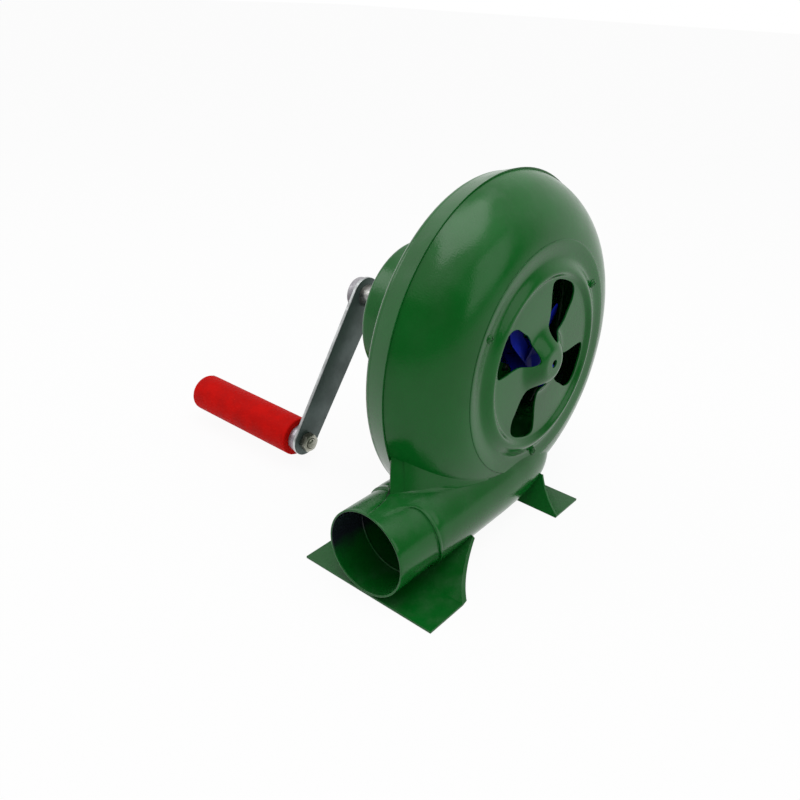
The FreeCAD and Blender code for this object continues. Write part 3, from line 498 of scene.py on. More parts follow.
@dataclass(frozen=True)
class DarkSteel(Grained):
    """Blackened bar whose rubbed edges show bare steel."""

    bare: Colour = (0.42, 0.44, 0.44, 1.0)
    skin_metallic: float = 0.35
    bare_metallic: float = 0.95

    def tint(self, graph: Graph, shader: bpy.types.Node, tone: bpy.types.NodeSocket,
             specks: bpy.types.NodeSocket, rubbed: bpy.types.NodeSocket) -> None:
        """Show bare steel along the rubbed edges.

        Args:
            graph: the material's graph.
            shader: its shader node.
            tone: the mottled colour.
            specks: mask of the grain's peaks, which this finish leaves out.
            rubbed: mask of the rubbed edges.
        """
        graph.feed(shader.inputs["Base Color"], graph.blend(rubbed, tone, self.bare))
        graph.feed(shader.inputs["Metallic"],
                   graph.spread(rubbed, 0.0, 1.0, self.skin_metallic, self.bare_metallic))


@dataclass(frozen=True)
class Plastic(Grained):
    """Moulded plastic, paler on its specks and edges."""

    pale: Colour = (1.0, 1.0, 1.0, 1.0)
    specular: float = 0.3

    def tint(self, graph: Graph, shader: bpy.types.Node, tone: bpy.types.NodeSocket,
             specks: bpy.types.NodeSocket, rubbed: bpy.types.NodeSocket) -> None:
        """Colour the plastic.

        Args:
            graph: the material's graph.
            shader: its shader node.
            tone: the mottled colour.
            specks: mask of the grain's peaks.
            rubbed: mask of the rubbed edges.
        """
        tone = graph.blend(rubbed, graph.blend(specks, tone, self.pale), self.pale)
        graph.feed(shader.inputs["Base Color"], tone)
        shader.inputs["Specular IOR Level"].default_value = self.specular


@dataclass(frozen=True)
class Spot:
    """Axis along Y of a round node: its centre, its ends and its radius."""

    x: float
    z: float
    start: float
    end: float
    radius: float

    @classmethod
    def of(cls, node: str) -> "Spot":
        """Read a round node's place from the frame.

        Args:
            cls: this class.
            node: the node's name.

        Returns:
            Its axis.
        """
        low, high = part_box(node)
        middle = (low + high) / 2
        return cls(middle.x, middle.z, low.y, high.y, (high.x - low.x) / 2)


Shaper = Callable[[float, float, float], tuple[float, float]]


def soften(corners: Sequence[tuple[float, float, float]], steps: int = 6) -> Profile:
    """Round the corners of a profile.

    Args:
        corners: (radius, y, rounding) of each corner.
        steps: points along each rounded corner.

    Returns:
        The finer profile.
    """
    profile: Profile = []
    last = len(corners) - 1
    for number, (radius, y, rounding) in enumerate(corners):
        here = Vector((radius, y))
        if rounding <= 0 or number in (0, last):
            profile.append((radius, y))
            continue
        back = (Vector(corners[number - 1][:2]) - here)
        ahead = (Vector(corners[number + 1][:2]) - here)
        cut = min(rounding, back.length * 0.49, ahead.length * 0.49)
        start = here + back.normalized() * cut
        end = here + ahead.normalized() * cut
        for step in range(steps + 1):
            share = step / steps
            spot = start.lerp(here, share).lerp(here.lerp(end, share), share)
            profile.append((spot.x, spot.y))
    return profile


def lathe(name: str, profile: Profile, centre: tuple[float, float], steps: int = 96,
          shaper: Shaper | None = None) -> bpy.types.Object:
    """Turn a profile about an axis along Y.

    Args:
        name: the piece's name.
        profile: (radius, y) points; a point on the axis closes an end.
        centre: (x, z) of the axis.
        steps: vertices round the axis.
        shaper: changes (radius, y) at an angle, for forms that aren't quite round.

    Returns:
        The piece.
    """
    work = bmesh.new()
    rings: list[list[bmesh.types.BMVert]] = []
    for radius, y in profile:
        count = 1 if radius < 1e-7 else steps
        ring = []
        for step in range(count):
            angle = 2 * math.pi * step / steps
            reach, along = (radius, y) if shaper is None or count == 1 else shaper(radius, y, angle)
            ring.append(work.verts.new((centre[0] + reach * math.cos(angle), along,
                                        centre[1] + reach * math.sin(angle))))
        rings.append(ring)
    for first, second in zip(rings, rings[1:]):
        for step in range(steps):
            after = (step + 1) % steps
            corners = [first[step % len(first)], first[after % len(first)],
                       second[after % len(second)], second[step % len(second)]]
            unique = list(dict.fromkeys(corners))
            if len(unique) > 2:
                work.faces.new(unique)
    return to_piece(name, work)


def bridge(work: bmesh.types.BMesh, loops: list[list[bmesh.types.BMVert]],
           around: bool = False) -> None:
    """Join neighbouring closed loops by faces.

    Args:
        work: the bmesh that holds them.
        loops: the loops, all of one length.
        around: whether the last loop joins the first; otherwise both are filled.
    """
    for first, second in zip(loops, loops[1:] + loops[:1] if around else loops[1:]):
        for step in range(len(first)):
            after = (step + 1) % len(first)
            work.faces.new((first[step], first[after], second[after], second[step]))
    if not around:
        work.faces.new(loops[0])
        work.faces.new(loops[-1])


def tube_profile(bore: float, radius: float, start: float, end: float,
                 rounding: float) -> Profile:
    """Closed profile of a tube with rounded ends.

    Args:
        bore: inner radius.
        radius: outer radius.
        start: first end along Y.
        end: last end along Y.
        rounding: rounding of the outer edges.

    Returns:
        The profile, which starts and ends at the same point of the bore.
    """
    middle = (start + end) / 2
    inner = rounding * 0.5
    return soften([(bore, middle, 0), (bore, start, inner), (radius, start, rounding),
                   (radius, end, rounding), (bore, end, inner), (bore, middle, 0)])


def to_piece(name: str, work: bmesh.types.BMesh, crease: float = 38.0) -> bpy.types.Object:
    """Turn a bmesh into a shaded piece of the scene.

    Args:
        name: the piece's name.
        work: the bmesh, which is used up.
        crease: edges that turn by more than this many degrees stay sharp.

    Returns:
        The piece.
    """
    bmesh.ops.remove_doubles(work, verts=work.verts, dist=1e-6)
    bmesh.ops.recalc_face_normals(work, faces=work.faces)
    mesh = bpy.data.meshes.new(name)
    work.to_mesh(mesh)
    work.free()
    mesh.shade_smooth()
    mesh.set_sharp_from_angle(angle=math.radians(crease))
    piece = bpy.data.objects.new(name, mesh)
    bpy.context.scene.collection.objects.link(piece)
    return piece


def plate(name: str, outline: Sequence[tuple[float, float]], start: float, end: float,
          edge: float) -> bpy.types.Object:
    """Flat plate square to Y with softened edges.

    Args:
        name: the piece's name.
        outline: (x, z) points round it.
        start: its first face along Y.
        end: its last face along Y.
        edge: width of the softened edge.

    Returns:
        The piece.
    """
    work = bmesh.new()
    face = work.faces.new([work.verts.new((x, start, z)) for x, z in outline])
    grown = bmesh.ops.extrude_face_region(work, geom=[face])
    for item in grown["geom"]:
        if isinstance(item, bmesh.types.BMVert):
            item.co.y = end
    rims = [rim for rim in work.edges if abs(rim.verts[0].co.y - rim.verts[1].co.y) < 1e-7]
    bmesh.ops.bevel(work, geom=rims, offset=edge, segments=3, affect="EDGES", profile=0.5)
    return to_piece(name, work)


def settle(piece: bpy.types.Object, body: Body, slot: Slot,
           material: bpy.types.Material, *nodes: str) -> bpy.types.Object:
    """Dress a piece and fix it to its body.

    Args:
        piece: the piece.
        body: the body that carries it.
        slot: the record's material slot; not used.
        material: its finish.
        *nodes: CAD nodes that it stands for.

    Returns:
        The piece.
    """
    if not piece.data.materials:
        piece.data.materials.append(material)
    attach(piece, body.value)
    if nodes:
        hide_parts(*nodes)
    log.info("piece %s on %s", piece.name, body.value)
    return piece


def dress(node: str, material: bpy.types.Material) -> None:
    """Give a CAD node a finish.

    Args:
        node: the node's name.
        material: its finish.
    """
    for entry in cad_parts[node].material_slots:
        entry.material = material
    log.info("node %s wears %s", node, material.name)


class Finishes:
    """All finishes of the blower."""

    def __init__(self) -> None:
        """Build the shared effects and the materials."""
        for make in (make_edge_wear, make_paint_film, make_fine_grain, make_settled_dust):
            make()
        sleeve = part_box("outlet_sleeve")
        radius = (sleeve[1].z - sleeve[0].z) / 2
        self.enamel = Enamel().build()
        self.plate_enamel = Enamel(name="plate_green_enamel", dents=0.2).build()
        self.drawn = Enamel(name="drawn_green_enamel", edge=0.0).build()
        self.sleeve = SleeveEnamel(axis_height=(sleeve[0].z + sleeve[1].z) / 2,
                                   bore=radius - 1.5 * MM).build()
        self.plated = Grained("plated_steel", (0.5, 0.5, 0.5, 1), (0.3, 0.29, 0.27, 1),
                              0.34).build()
        self.bolt = Grained("yellowed_zinc", (0.42, 0.42, 0.36, 1), (0.16, 0.17, 0.13, 1),
                            0.36, 0.2).build()
        self.cast = Grained("cast_alloy", (0.42, 0.41, 0.43, 1), (0.25, 0.24, 0.26, 1),
                            0.5, 0.5, 1400.0).build()
        self.collar = Grained("turned_alloy", (0.5, 0.48, 0.51, 1), (0.34, 0.32, 0.36, 1),
                              0.42, 0.3, 1700.0).build()
        self.gear = Grained("gear_steel", (0.36, 0.36, 0.37, 1), (0.2, 0.19, 0.17, 1),
                            0.3).build()
        self.brass = Grained("bush_brass", (0.62, 0.43, 0.16, 1), (0.36, 0.22, 0.08, 1),
                             0.3).build()
        self.bare_edge = Grained("sheared_edge", (0.55, 0.57, 0.57, 1), (0.34, 0.35, 0.35, 1),
                                 0.4, 0.3, 1200.0, 0.2).build()
        self.dark = DarkSteel("blackened_steel", (0.085, 0.118, 0.112, 1),
                              (0.055, 0.08, 0.075, 1), 0.38, 0.12, 900.0, mottle_scale=50.0,
                              grain_depth=0.2 * MM, edge=0.5 * MM, breakup=500.0,
                              edge_reach=0.1, dull=1.2, bright=0.85).build()
        moulding = {"mottle_scale": 70.0, "grain_depth": 0.35 * MM, "edge": 0.6 * MM,
                    "breakup": 700.0, "edge_reach": 0.5, "dull": 1.0, "bright": 1.2}
        self.blue = Plastic("blue_plastic", (0.004, 0.014, 0.34, 1), (0.002, 0.008, 0.22, 1),
                            0.5, 0.1, 1300.0, pale=(0.01, 0.03, 0.45, 1), specular=0.08,
                            **moulding).build()
        self.red = Plastic("red_plastic", (0.6, 0.004, 0.0022, 1), (0.47, 0.002, 0.001, 1),
                           0.55, 0.35, 900.0, pale=(0.68, 0.012, 0.006, 1), specular=0.06,
                           **moulding).build()


@dataclass
class Housing:
    """Pressed shells and feet, with the screws that hold the cover."""

    finishes: Finishes
    screw_dome: float = 1.9 * MM
    dome_power: float = 2.6
    slot_width: float = 0.55 * MM
    slot_depth: float = 0.8 * MM
    slot_reach: float = 0.68
    shank_share: float = 0.5

    def dress(self) -> None:
        """Give the CAD shells and plates their enamel."""
        for node in ("intake_shell", "gear_side_shell"):
            dress(node, self.finishes.enamel)
        for node in ("front_foot", "rear_foot"):
            dress(node, self.finishes.plate_enamel)

    def build(self) -> None:
        """Make the cover screws."""
        for number in (1, 2, 3):
            self.face_screw(f"face_screw_{number}")

    def face_screw(self, node: str) -> None:
        """Pan head screw with a cross recess.

        Args:
            node: the CAD screw that it stands for.
        """
        spot = Spot.of(node)
        face = spot.start + self.screw_dome

        def dome(share: float) -> float:
            """Depth of the head's face at a share of its radius."""
            return spot.start + self.screw_dome * (1 - math.sqrt(1 - share ** self.dome_power))

        def cross(radius: float, y: float, angle: float) -> tuple[float, float]:
            """Press the cross recess into the head's face."""
            if y > face - 1e-6 or radius > spot.radius * self.slot_reach:
                return radius, y
            near = min(abs(radius * math.cos(angle)), abs(radius * math.sin(angle)))
            share = held((self.slot_width - near) / (self.slot_width * 0.4))
            return radius, y + self.slot_depth * share

        rows = 26
        profile = [(spot.radius * row / rows, dome(row / rows)) for row in range(rows + 1)]
        profile[0] = (spot.radius * 0.01, spot.start)
        shank = spot.radius * self.shank_share
        profile += [(spot.radius, face), (shank, face), (shank, spot.end), (0, spot.end)]
        profile.insert(0, (0, spot.start + self.slot_depth))
        piece = lathe(node + "_pan", profile, (spot.x, spot.z), 72, cross)
        settle(piece, Body.HOUSING, Slot.ENAMEL, self.finishes.plate_enamel, node)


@dataclass
class Grille:
    """Pressed cover with its valley, bead, dome and four propeller-shaped slots.

    slot_way holds (radius in millimetres, degrees) of the points round one slot.
    """

    finishes: Finishes
    wall: float = 1.2 * MM
    eye: float = 3.0 * MM
    dome_top: float = 9.0 * MM
    dome_foot: float = 26.0 * MM
    flat_edge: float = 57.0 * MM
    bead: float = 62.2 * MM
    valley: float = 72.0 * MM
    rim: float = 79.3 * MM
    ridge: float = 82.8 * MM
    flat_rise: float = 1.5 * MM
    bead_rise: float = 4.3 * MM
    dome_rise: float = 11.0 * MM
    ridge_rise: float = 1.02 * MM
    valley_depth: float = -25.0 * MM
    lip: float = 0.12 * MM
    cut_depth: float = -60.0 * MM
    slot_count: int = 4
    slot_way: tuple[tuple[float, float], ...] = (
        (56.4, 59), (56.4, 70), (56.4, 81), (54.0, 86.5), (46.0, 86.5), (38.0, 84.5),
        (30.0, 83), (22.0, 85), (16.5, 82), (14.3, 71), (16.3, 58), (21.0, 48.5),
        (27.0, 43.5), (33.0, 43), (40.0, 45.5), (48.0, 47.5), (54.0, 52))

    def build(self) -> None:
        """Make the cover, with the slots cut through."""
        low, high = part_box("intake_cover")
        centre = ((low.x + high.x) / 2, (low.z + high.z) / 2)
        piece = lathe("intake_cover_pressed", self.section(), centre, 240)
        cutters = [self.cutter(number, centre) for number in range(self.slot_count)]
        for cutter in cutters:
            cut = piece.modifiers.new(cutter.name, "BOOLEAN")
            cut.object = cutter
            cut.solver = "EXACT"
        apply_modifiers(piece, 35)
        for cutter in cutters:
            bpy.data.objects.remove(cutter)
        settle(piece, Body.HOUSING, Slot.ENAMEL, self.finishes.enamel, "intake_cover")

    def section(self) -> Profile:
        """Closed profile of the pressed sheet."""
        flat = self.valley_depth - self.flat_rise
        stations = [(self.eye, self.valley_depth - self.dome_rise),
                    (self.dome_top, self.valley_depth - self.dome_rise),
                    (self.dome_foot, flat), (self.flat_edge, flat),
                    (self.bead, self.valley_depth - self.bead_rise),
                    (self.valley, self.valley_depth)]
        front = self.waved(stations)
        back = [(radius, y + self.wall) for radius, y in reversed(front)]
        top = self.valley_depth - self.ridge_rise
        rim_back = self.valley_depth + self.wall
        edge = self.waved([(self.valley, self.valley_depth), (self.ridge, top)])[1:]
        edge += [(self.ridge + 0.35 * MM, top + self.lip), (self.ridge, top + 2 * self.lip),
                 (self.rim + 0.6 * MM, top + 3.5 * self.lip), (self.rim, rim_back)]
        return front + edge + back + [front[0]]

    def waved(self, stations: Profile, steps: int = 10) -> Profile:
        """Pass through level stations by smooth S curves.

        Args:
            stations: (radius, y) of each level place.
            steps: points from one station to the next.

        Returns:
            The profile.
        """
        way = [stations[0]]
        for start, end in zip(stations, stations[1:]):
            for step in range(1, steps + 1):
                share = step / steps
                way.append((start[0] + (end[0] - start[0]) * share,
                            start[1] + (end[1] - start[1]) * eased(share)))
        return way

    def cutter(self, number: int, centre: tuple[float, float]) -> bpy.types.Object:
        """Prism that cuts one slot.

        Args:
            number: which slot it is.
            centre: (x, z) of the fan axis.

        Returns:
            The prism.
        """
        quarter = 2 * math.pi * number / self.slot_count
        points = [Vector((radius * MM * math.cos(math.radians(angle) + quarter),
                          radius * MM * math.sin(math.radians(angle) + quarter)))
                  for radius, angle in self.slot_way]
        outline = smooth_loop(points, 6)
        work = bmesh.new()
        face = work.faces.new([
            work.verts.new((centre[0] + spot.x, self.cut_depth, centre[1] + spot.y))
            for spot in outline])
        grown = bmesh.ops.extrude_face_region(work, geom=[face])
        for item in grown["geom"]:
            if isinstance(item, bmesh.types.BMVert):
                item.co.y = 0.0
        return to_piece(f"slot_cutter_{number + 1}", work)


def smooth_loop(points: Sequence[Vector], steps: int) -> list[Vector]:
    """Closed smooth curve through points.

    Args:
        points: the points.
        steps: new points from one to the next.

    Returns:
        The finer loop.
    """
    count = len(points)
    loop = []
    for number in range(count):
        before, start, end, after = (points[(number + shift) % count] for shift in (-1, 0, 1, 2))
        for step in range(steps):
            share = step / steps
            pull = start * 2 + (end - before) * share
            pull += (before * 2 - start * 5 + end * 4 - after) * share ** 2
            pull += (start * 3 - before - end * 3 + after) * share ** 3
            loop.append(pull / 2)
    return loop


def apply_modifiers(piece: bpy.types.Object, crease: float) -> None:
    """Keep a piece's modified mesh as its own.

    Args:
        piece: the piece.
        crease: edges that turn by more than this many degrees stay sharp.
    """
    graph = bpy.context.evaluated_depsgraph_get()
    mesh = bpy.data.meshes.new_from_object(piece.evaluated_get(graph))
    piece.modifiers.clear()
    piece.data = mesh
    mesh.shade_smooth()
    mesh.set_sharp_from_angle(angle=math.radians(crease))


@dataclass
class Sleeve:
    """Outlet sleeve that the shells' tongues wrap, with a lapped seam along its top.

    edge_way holds (degrees about the axis, x in millimetres) of the tongues' edge, and seam_way
    holds (x in millimetres, degrees) of the seam.
    """

    finishes: Finishes
    wall: float = 1.5 * MM
    skin: float = 0.98 * MM
    bead: float = 0.4 * MM
    bead_width: float = 3.0 * MM
    step: float = 0.35 * MM
    duct_end: float = -107.5 * MM
    duct_lap: float = 13.0 * MM
    bead_cover: float = 0.66 * MM
    insert: float = -98.5 * MM
    under: float = 0.35 * MM
    tuck: float = 0.4 * MM
    lap_drop: float = 0.06 * MM
    mouth_round: float = 0.5 * MM
    plain_rows: int = 14
    lap_rows: int = 12
    seam_at: float = 86.0
    seam_ramp: float = 13.0 * MM
    seam_rise: float = 0.45 * MM
    edge_way: tuple[tuple[float, float], ...] = (
        (0, -110.5), (20, -112), (45, -114.5), (61, -116.1), (76, -117), (84, -120),
        (87, -131), (104, -130), (112, -125), (119, -119.5), (125, -117.3),
        (136, -115.8), (149, -114.6),
        (165, -113.4), (183, -111.8), (200, -108.8), (212, -107.6), (360, -107.6))
    seam_way: tuple[tuple[float, float], ...] = (
        (-148.3, 92), (-136.5, 91.2), (-130, 89.6), (-123.3, 84.7), (-115, 80), (-107.5, 84),
        (-98, 85.4))
    columns: int = 360
    radius: float = 30.0 * MM

    def __post_init__(self) -> None:
        """Read the sleeve's place from the frame."""
        low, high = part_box("outlet_sleeve")
        self.mouth = low.x
        self.height = (low.z + high.z) / 2

    def build(self) -> None:
        """Make the sleeve and the ring inside it."""
        work = bmesh.new()
        rings = []
        for column in range(self.columns):
            angle = 360 * column / self.columns
            rings.append([work.verts.new(spot) for spot in self.rib(angle)])
        bridge(work, rings, True)
        piece = to_piece("outlet_sleeve_rolled", work, 30)
        settle(piece, Body.HOUSING, Slot.ENAMEL, self.finishes.sleeve, "outlet_sleeve")
        self.inner_ring()

    def rib(self, angle: float) -> list[Vector]:
        """Closed section of the wrapped sleeve at one angle, from its mouth round to its bore.

        Args:
            angle: degrees about the sleeve's axis, 90 at the top, 180 toward the grille.

        Returns:
            The section's points.
        """
        edge, ramp = self.tongue(angle)
        bore = self.radius - self.wall
        front = self.mouth + self.mouth_round
        rows = [(front, bore), (self.mouth + 0.12 * MM, bore + 0.25 * MM),
                (self.mouth, bore + 0.6 * MM), (self.mouth, self.radius - 0.4 * MM),
                (self.mouth + 0.15 * MM, self.radius - 0.1 * MM), (front, self.radius)]
        foot = min(edge, self.duct_end) - ramp
        start = foot - self.tuck
        rear = self.duct_end + 0.2 * MM
        places = [front + (start - front) * number / self.plain_rows
                  for number in range(1, self.plain_rows)]
        places += [foot + (edge - foot) * number / 4 for number in range(5)]
        places += [edge + (rear - edge) * (number / self.plain_rows) ** 1.6
                   for number in range(1, self.plain_rows + 1)]
        rows += [(x, self.outer(angle, x, edge, ramp)) for x in places]
        top = self.radius + self.skin + self.bead_cover * self.visible(angle)
        lap = self.duct_end + self.duct_lap
        for number in range(1, self.lap_rows + 1):
            share = number / self.lap_rows
            fall = max(0.0, (share - 0.35) / 0.65)
            rows.append((rear + (lap - rear) * share, top - self.lap_drop * fall))
        inner = self.radius + self.skin - self.tuck
        under = self.radius - self.under
        behind = self.duct_end - 0.1 * MM
        rows += [(lap, inner), (behind, inner), (behind, under), (self.insert, under),
                 (self.insert, bore)]
        spots = []
        for x, reach in rows:
            turned = math.radians(angle + self.warp(angle, x))
            spots.append(Vector((x, reach * math.cos(turned),
                                 self.height + reach * math.sin(turned))))
        return spots

    def tongue(self, angle: float) -> tuple[float, float]:
        """Place of the tongue's edge and the length over which it rises.

        Args:
            angle: degrees about the sleeve's axis.

        Returns:
            The place along the sleeve and the length.
        """
        return follow(self.edge_way, angle) * MM, self.step + self.seam_ramp * self.fade(angle)

    def fade(self, angle: float) -> float:
        """How far the tongue's edge has melted into the sleeve, from 0 to 1.

        Args:
            angle: degrees about the sleeve's axis.

        Returns:
            The share.
        """
        if angle < self.seam_at:
            return 0.0
        return eased((118 - angle) / 14)

    def warp(self, angle: float, x: float) -> float:
        """Degrees by which the seam's wander turns a point.

        Args:
            angle: degrees about the sleeve's axis.
            x: place along the sleeve.

        Returns:
            The extra degrees.
        """
        near = max(0.0, 1 - abs(angle - self.seam_at) / 26)
        return (follow(self.seam_way, x / MM) - self.seam_at) * near

    def outer(self, angle: float, x: float, edge: float, ramp: float) -> float:
        """Outer radius of the wrapped sleeve.

        Args:
            angle: degrees about the axis.
            x: place along the sleeve.
            edge: x where the tongue has its full height.
            ramp: length over which it rises.

        Returns:
            The radius.
        """
        lift = self.skin * eased((x - edge + ramp) / ramp)
        if angle > 216:
            lift *= held((x - self.duct_end + 1 * MM) / MM)
        reach = (7 + 18 * self.fade(angle)) * MM
        nearing = eased(1 - (self.duct_end - x) / reach)
        lift += self.bead_cover * self.visible(angle) * nearing
        behind = (x - edge) / self.bead_width
        if 0 <= behind <= 1 and angle < 212:
            swell = math.sin(math.pi * min(1.0, behind + 0.25)) if behind < 0.75 else 0.0
            lift += self.bead * max(0.0, swell) * (1 - self.fade(angle)) * self.visible(angle)
        if self.seam_at - 40 < angle <= self.seam_at:
            drop = self.seam_rise * max(0.0, 1 - (self.seam_at - angle) / 40)
            inside = held((self.duct_end - x) / (6 * MM))
            lift -= drop * inside * held((x - self.mouth) / (10 * MM))
        return self.radius + lift

    def visible(self, angle: float) -> float:
        """Fade of the bead toward the sleeve's underside.

        Args:
            angle: degrees about the sleeve's axis.

        Returns:
            The share of its full height.
        """
        return held(min((212 - angle) / 8, angle / 10))

    def inner_ring(self) -> None:
        """Rolled stop ring round the lower half of the bore."""
        half, rise, place = 0.9 * MM, 0.5 * MM, -119.5 * MM
        bore = self.radius - self.wall
        rows = 60
        work = bmesh.new()
        loops = []
        for row in range(rows + 1):
            angle = math.radians(6 - 186 * row / rows)
            swell = rise * min(1.0, row / 6, (rows - row) / 6)
            loop = []
            for across, lift in ((-1, 0), (-0.5, 1), (0.5, 1), (1, 0), (0, -0.6 * MM)):
                reach = bore - (lift * swell if lift >= 0 else lift)
                loop.append(work.verts.new((place + across * half, reach * math.cos(angle),
                                            self.height + reach * math.sin(angle))))
            loops.append(loop)
        bridge(work, loops)
        settle(to_piece("sleeve_ring", work), Body.HOUSING, Slot.ENAMEL, self.finishes.sleeve)


@dataclass
class Duct:
    """Straight drawn duct that runs level into the foot of the housing.

    A station holds x, the depth and height of the centre against the sleeve's axis, and the
    radius, in millimetres.
    """

    finishes: Finishes
    sleeve: Sleeve
    stations: tuple[tuple[float, float, float, float], ...] = (
        (-107.4, 0, 0, 31.64), (-80, 0, 0, 31.64), (-50, 0, 0, 31.5), (-20, 0, 0, 31.0),
        (5, 0.5, 0.2, 29.8), (28, 3, 1.3, 27.2), (48, 8, 6.5, 19.5), (60, 11, 13, 11))
    wall: float = 0.4 * MM
    pitch: float = 2.5
    steps: int = 128

    def build(self) -> None:
        """Make the duct's outer sheet."""
        height = self.sleeve.height
        first, last = self.stations[0][0], self.stations[-1][0]
        count = math.ceil((last - first) / self.pitch)
        outer, inner = [], []
        for number in range(count + 1):
            x = first + (last - first) * number / count
            y, z, radius = self.section(x)
            for group, reach in ((outer, radius * MM), (inner, radius * MM - self.wall)):
                group.append([Vector((x * MM, y * MM + reach * math.cos(angle),
                                      height + z * MM + reach * math.sin(angle)))
                              for angle in self.angles()])
        work = bmesh.new()
        rings = [[work.verts.new(spot) for spot in ring] for ring in outer + inner[::-1]]
        bridge(work, rings, True)
        settle(to_piece("outlet_duct_skin", work), Body.HOUSING, Slot.ENAMEL, self.finishes.drawn)

    def angles(self) -> list[float]:
        """Angles of the vertices round the duct."""
        return [2 * math.pi * step / self.steps for step in range(self.steps)]

    def section(self, x: float) -> tuple[float, float, float]:
        """Centre and radius of the duct at one place.

        Args:
            x: the place, in millimetres.

        Returns:
            Depth and height of the centre against the sleeve's axis, and the radius.
        """
        return tuple(bend_through([(row[0], row[part]) for row in self.stations], x)
                     for part in (1, 2, 3))


def bend_through(way: Sequence[tuple[float, float]], place: float) -> float:
    """Read a value on a smooth curve through listed places.

    Args:
        way: (place, value) pairs in rising order.
        place: where it is read.

    Returns:
        The value.
    """
    number = max(0, min(len(way) - 2, sum(1 for row in way[1:] if row[0] <= place)))
    (x0, y0), (x1, y1) = way[number], way[number + 1]
    before, after = way[max(0, number - 1)], way[min(len(way) - 1, number + 2)]
    span = x1 - x0
    start = (y1 - before[1]) / max(x1 - before[0], 1e-9) * span
    end = (after[1] - y0) / max(after[0] - x0, 1e-9) * span
    share = (place - x0) / span
    square, cube = share ** 2, share ** 3
    return (y0 * (2 * cube - 3 * square + 1) + start * (cube - 2 * square + share)
            + y1 * (3 * square - 2 * cube) + end * (cube - square))


@dataclass
class Neck:
    """Concave sweep of the pressed shell between the rim and the top of the duct."""

    finishes: Finishes
    sleeve: Sleeve
    bend: float = 47.3 * MM
    ridge: float = 82.8 * MM
    ridge_depth: float = -25.8 * MM
    duct: float = 31.66 * MM
    seam_top: float = 10.0 * MM
    seam_foot: float = 1.0 * MM
    far: float = -24.5 * MM
    sweep: float = 17.0 * MM
    sweep_end: float = 1.0 * MM
    proud: float = 0.06 * MM
    sunk: float = 1.2 * MM
    columns: int = 48
    rows: int = 28
    passes: int = 4

    def build(self) -> None:
        """Make the sweep as one closed piece."""
        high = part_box("gear_side_shell")[1]
        rim = high.x
        duct_height = self.sleeve.height
        fan_height = high.z - rim
        middle = rim - self.bend
        depth = self.ridge_depth + math.sqrt(self.bend ** 2 - (self.ridge - middle) ** 2)
        work = bmesh.new()
        loops = []
        for column in range(self.columns + 1):
            share = column / self.columns
            loop = []
            for row in range(self.rows + 1):
                down = row / self.rows
                seam = self.seam_top + (self.seam_foot - self.seam_top) * down ** 1.2
                y = seam + (self.far - seam) * share
                reach = middle + math.sqrt(self.bend ** 2 - (y - depth) ** 2) + self.proud
                sweep = self.sweep + (self.sweep_end - self.sweep) * share
                duct = self.duct
                for _ in range(self.passes):
                    floor = duct_height + math.sqrt(duct ** 2 - y * y) - fan_height
                    centre_z = floor + sweep
                    foot = -math.sqrt((reach + sweep) ** 2 - centre_z ** 2)
                    duct = self.ground(foot, math.degrees(math.acos(y / duct)))
                loop.append(self.spot(reach, floor, sweep, down, y, fan_height))
            first, last = loop[0], loop[-1]
            loop.append(last + Vector((0.004, 0, -self.sunk)))
            loop.append(first + Vector((self.sunk, 0, 0.004)))
            loops.append([work.verts.new(spot) for spot in loop])
        bridge(work, loops)
        settle(to_piece("neck_sweep", work, 50), Body.HOUSING, Slot.ENAMEL, self.finishes.drawn)

    def ground(self, x: float, angle: float) -> float:
        """Radius of the sleeve or the duct that the sweep lands on.

        Args:
            x: place along the sleeve's axis.
            angle: degrees about the axis, as the sleeve counts them.

        Returns:
            The radius.
        """
        if x > self.sleeve.duct_end:
            return self.duct
        return self.sleeve.outer(angle, x, *self.sleeve.tongue(angle))

    def spot(self, reach: float, floor: float, sweep: float, down: float, y: float,
             fan_height: float) -> Vector:
        """Point of the arc that touches the rim's circle and the duct's top line.

        Args:
            reach: radius of the housing in this plane.
            floor: height of the duct's top against the fan axis.
            sweep: radius of the arc.
            down: place along the arc, 0 at the rim and 1 at the duct.
            y: the plane.
            fan_height: height of the fan axis.

        Returns:
            The point.
        """
        centre_z = floor + sweep
        centre_x = -math.sqrt((reach + sweep) ** 2 - centre_z ** 2)
        start = math.atan2(-centre_z, -centre_x)
        if start < 0:
            start += 2 * math.pi
        if start > math.pi:
            start -= 2 * math.pi
        end = -math.pi / 2
        angle = start + (end - start) * down
        return Vector((centre_x + sweep * math.cos(angle), y,
                       fan_height + centre_z + sweep * math.sin(angle)))


def follow(way: Sequence[tuple[float, float]], place: float) -> float:
    """Read a value between listed places.

    Args:
        way: (place, value) pairs in rising order.
        place: where it is read.

    Returns:
        The value, on a straight line between its neighbours.
    """
    if place <= way[0][0]:
        return way[0][1]
    for (start, first), (end, second) in zip(way, way[1:]):
        if place <= end:
            return first + (second - first) * (place - start) / (end - start)
    return way[-1][1]


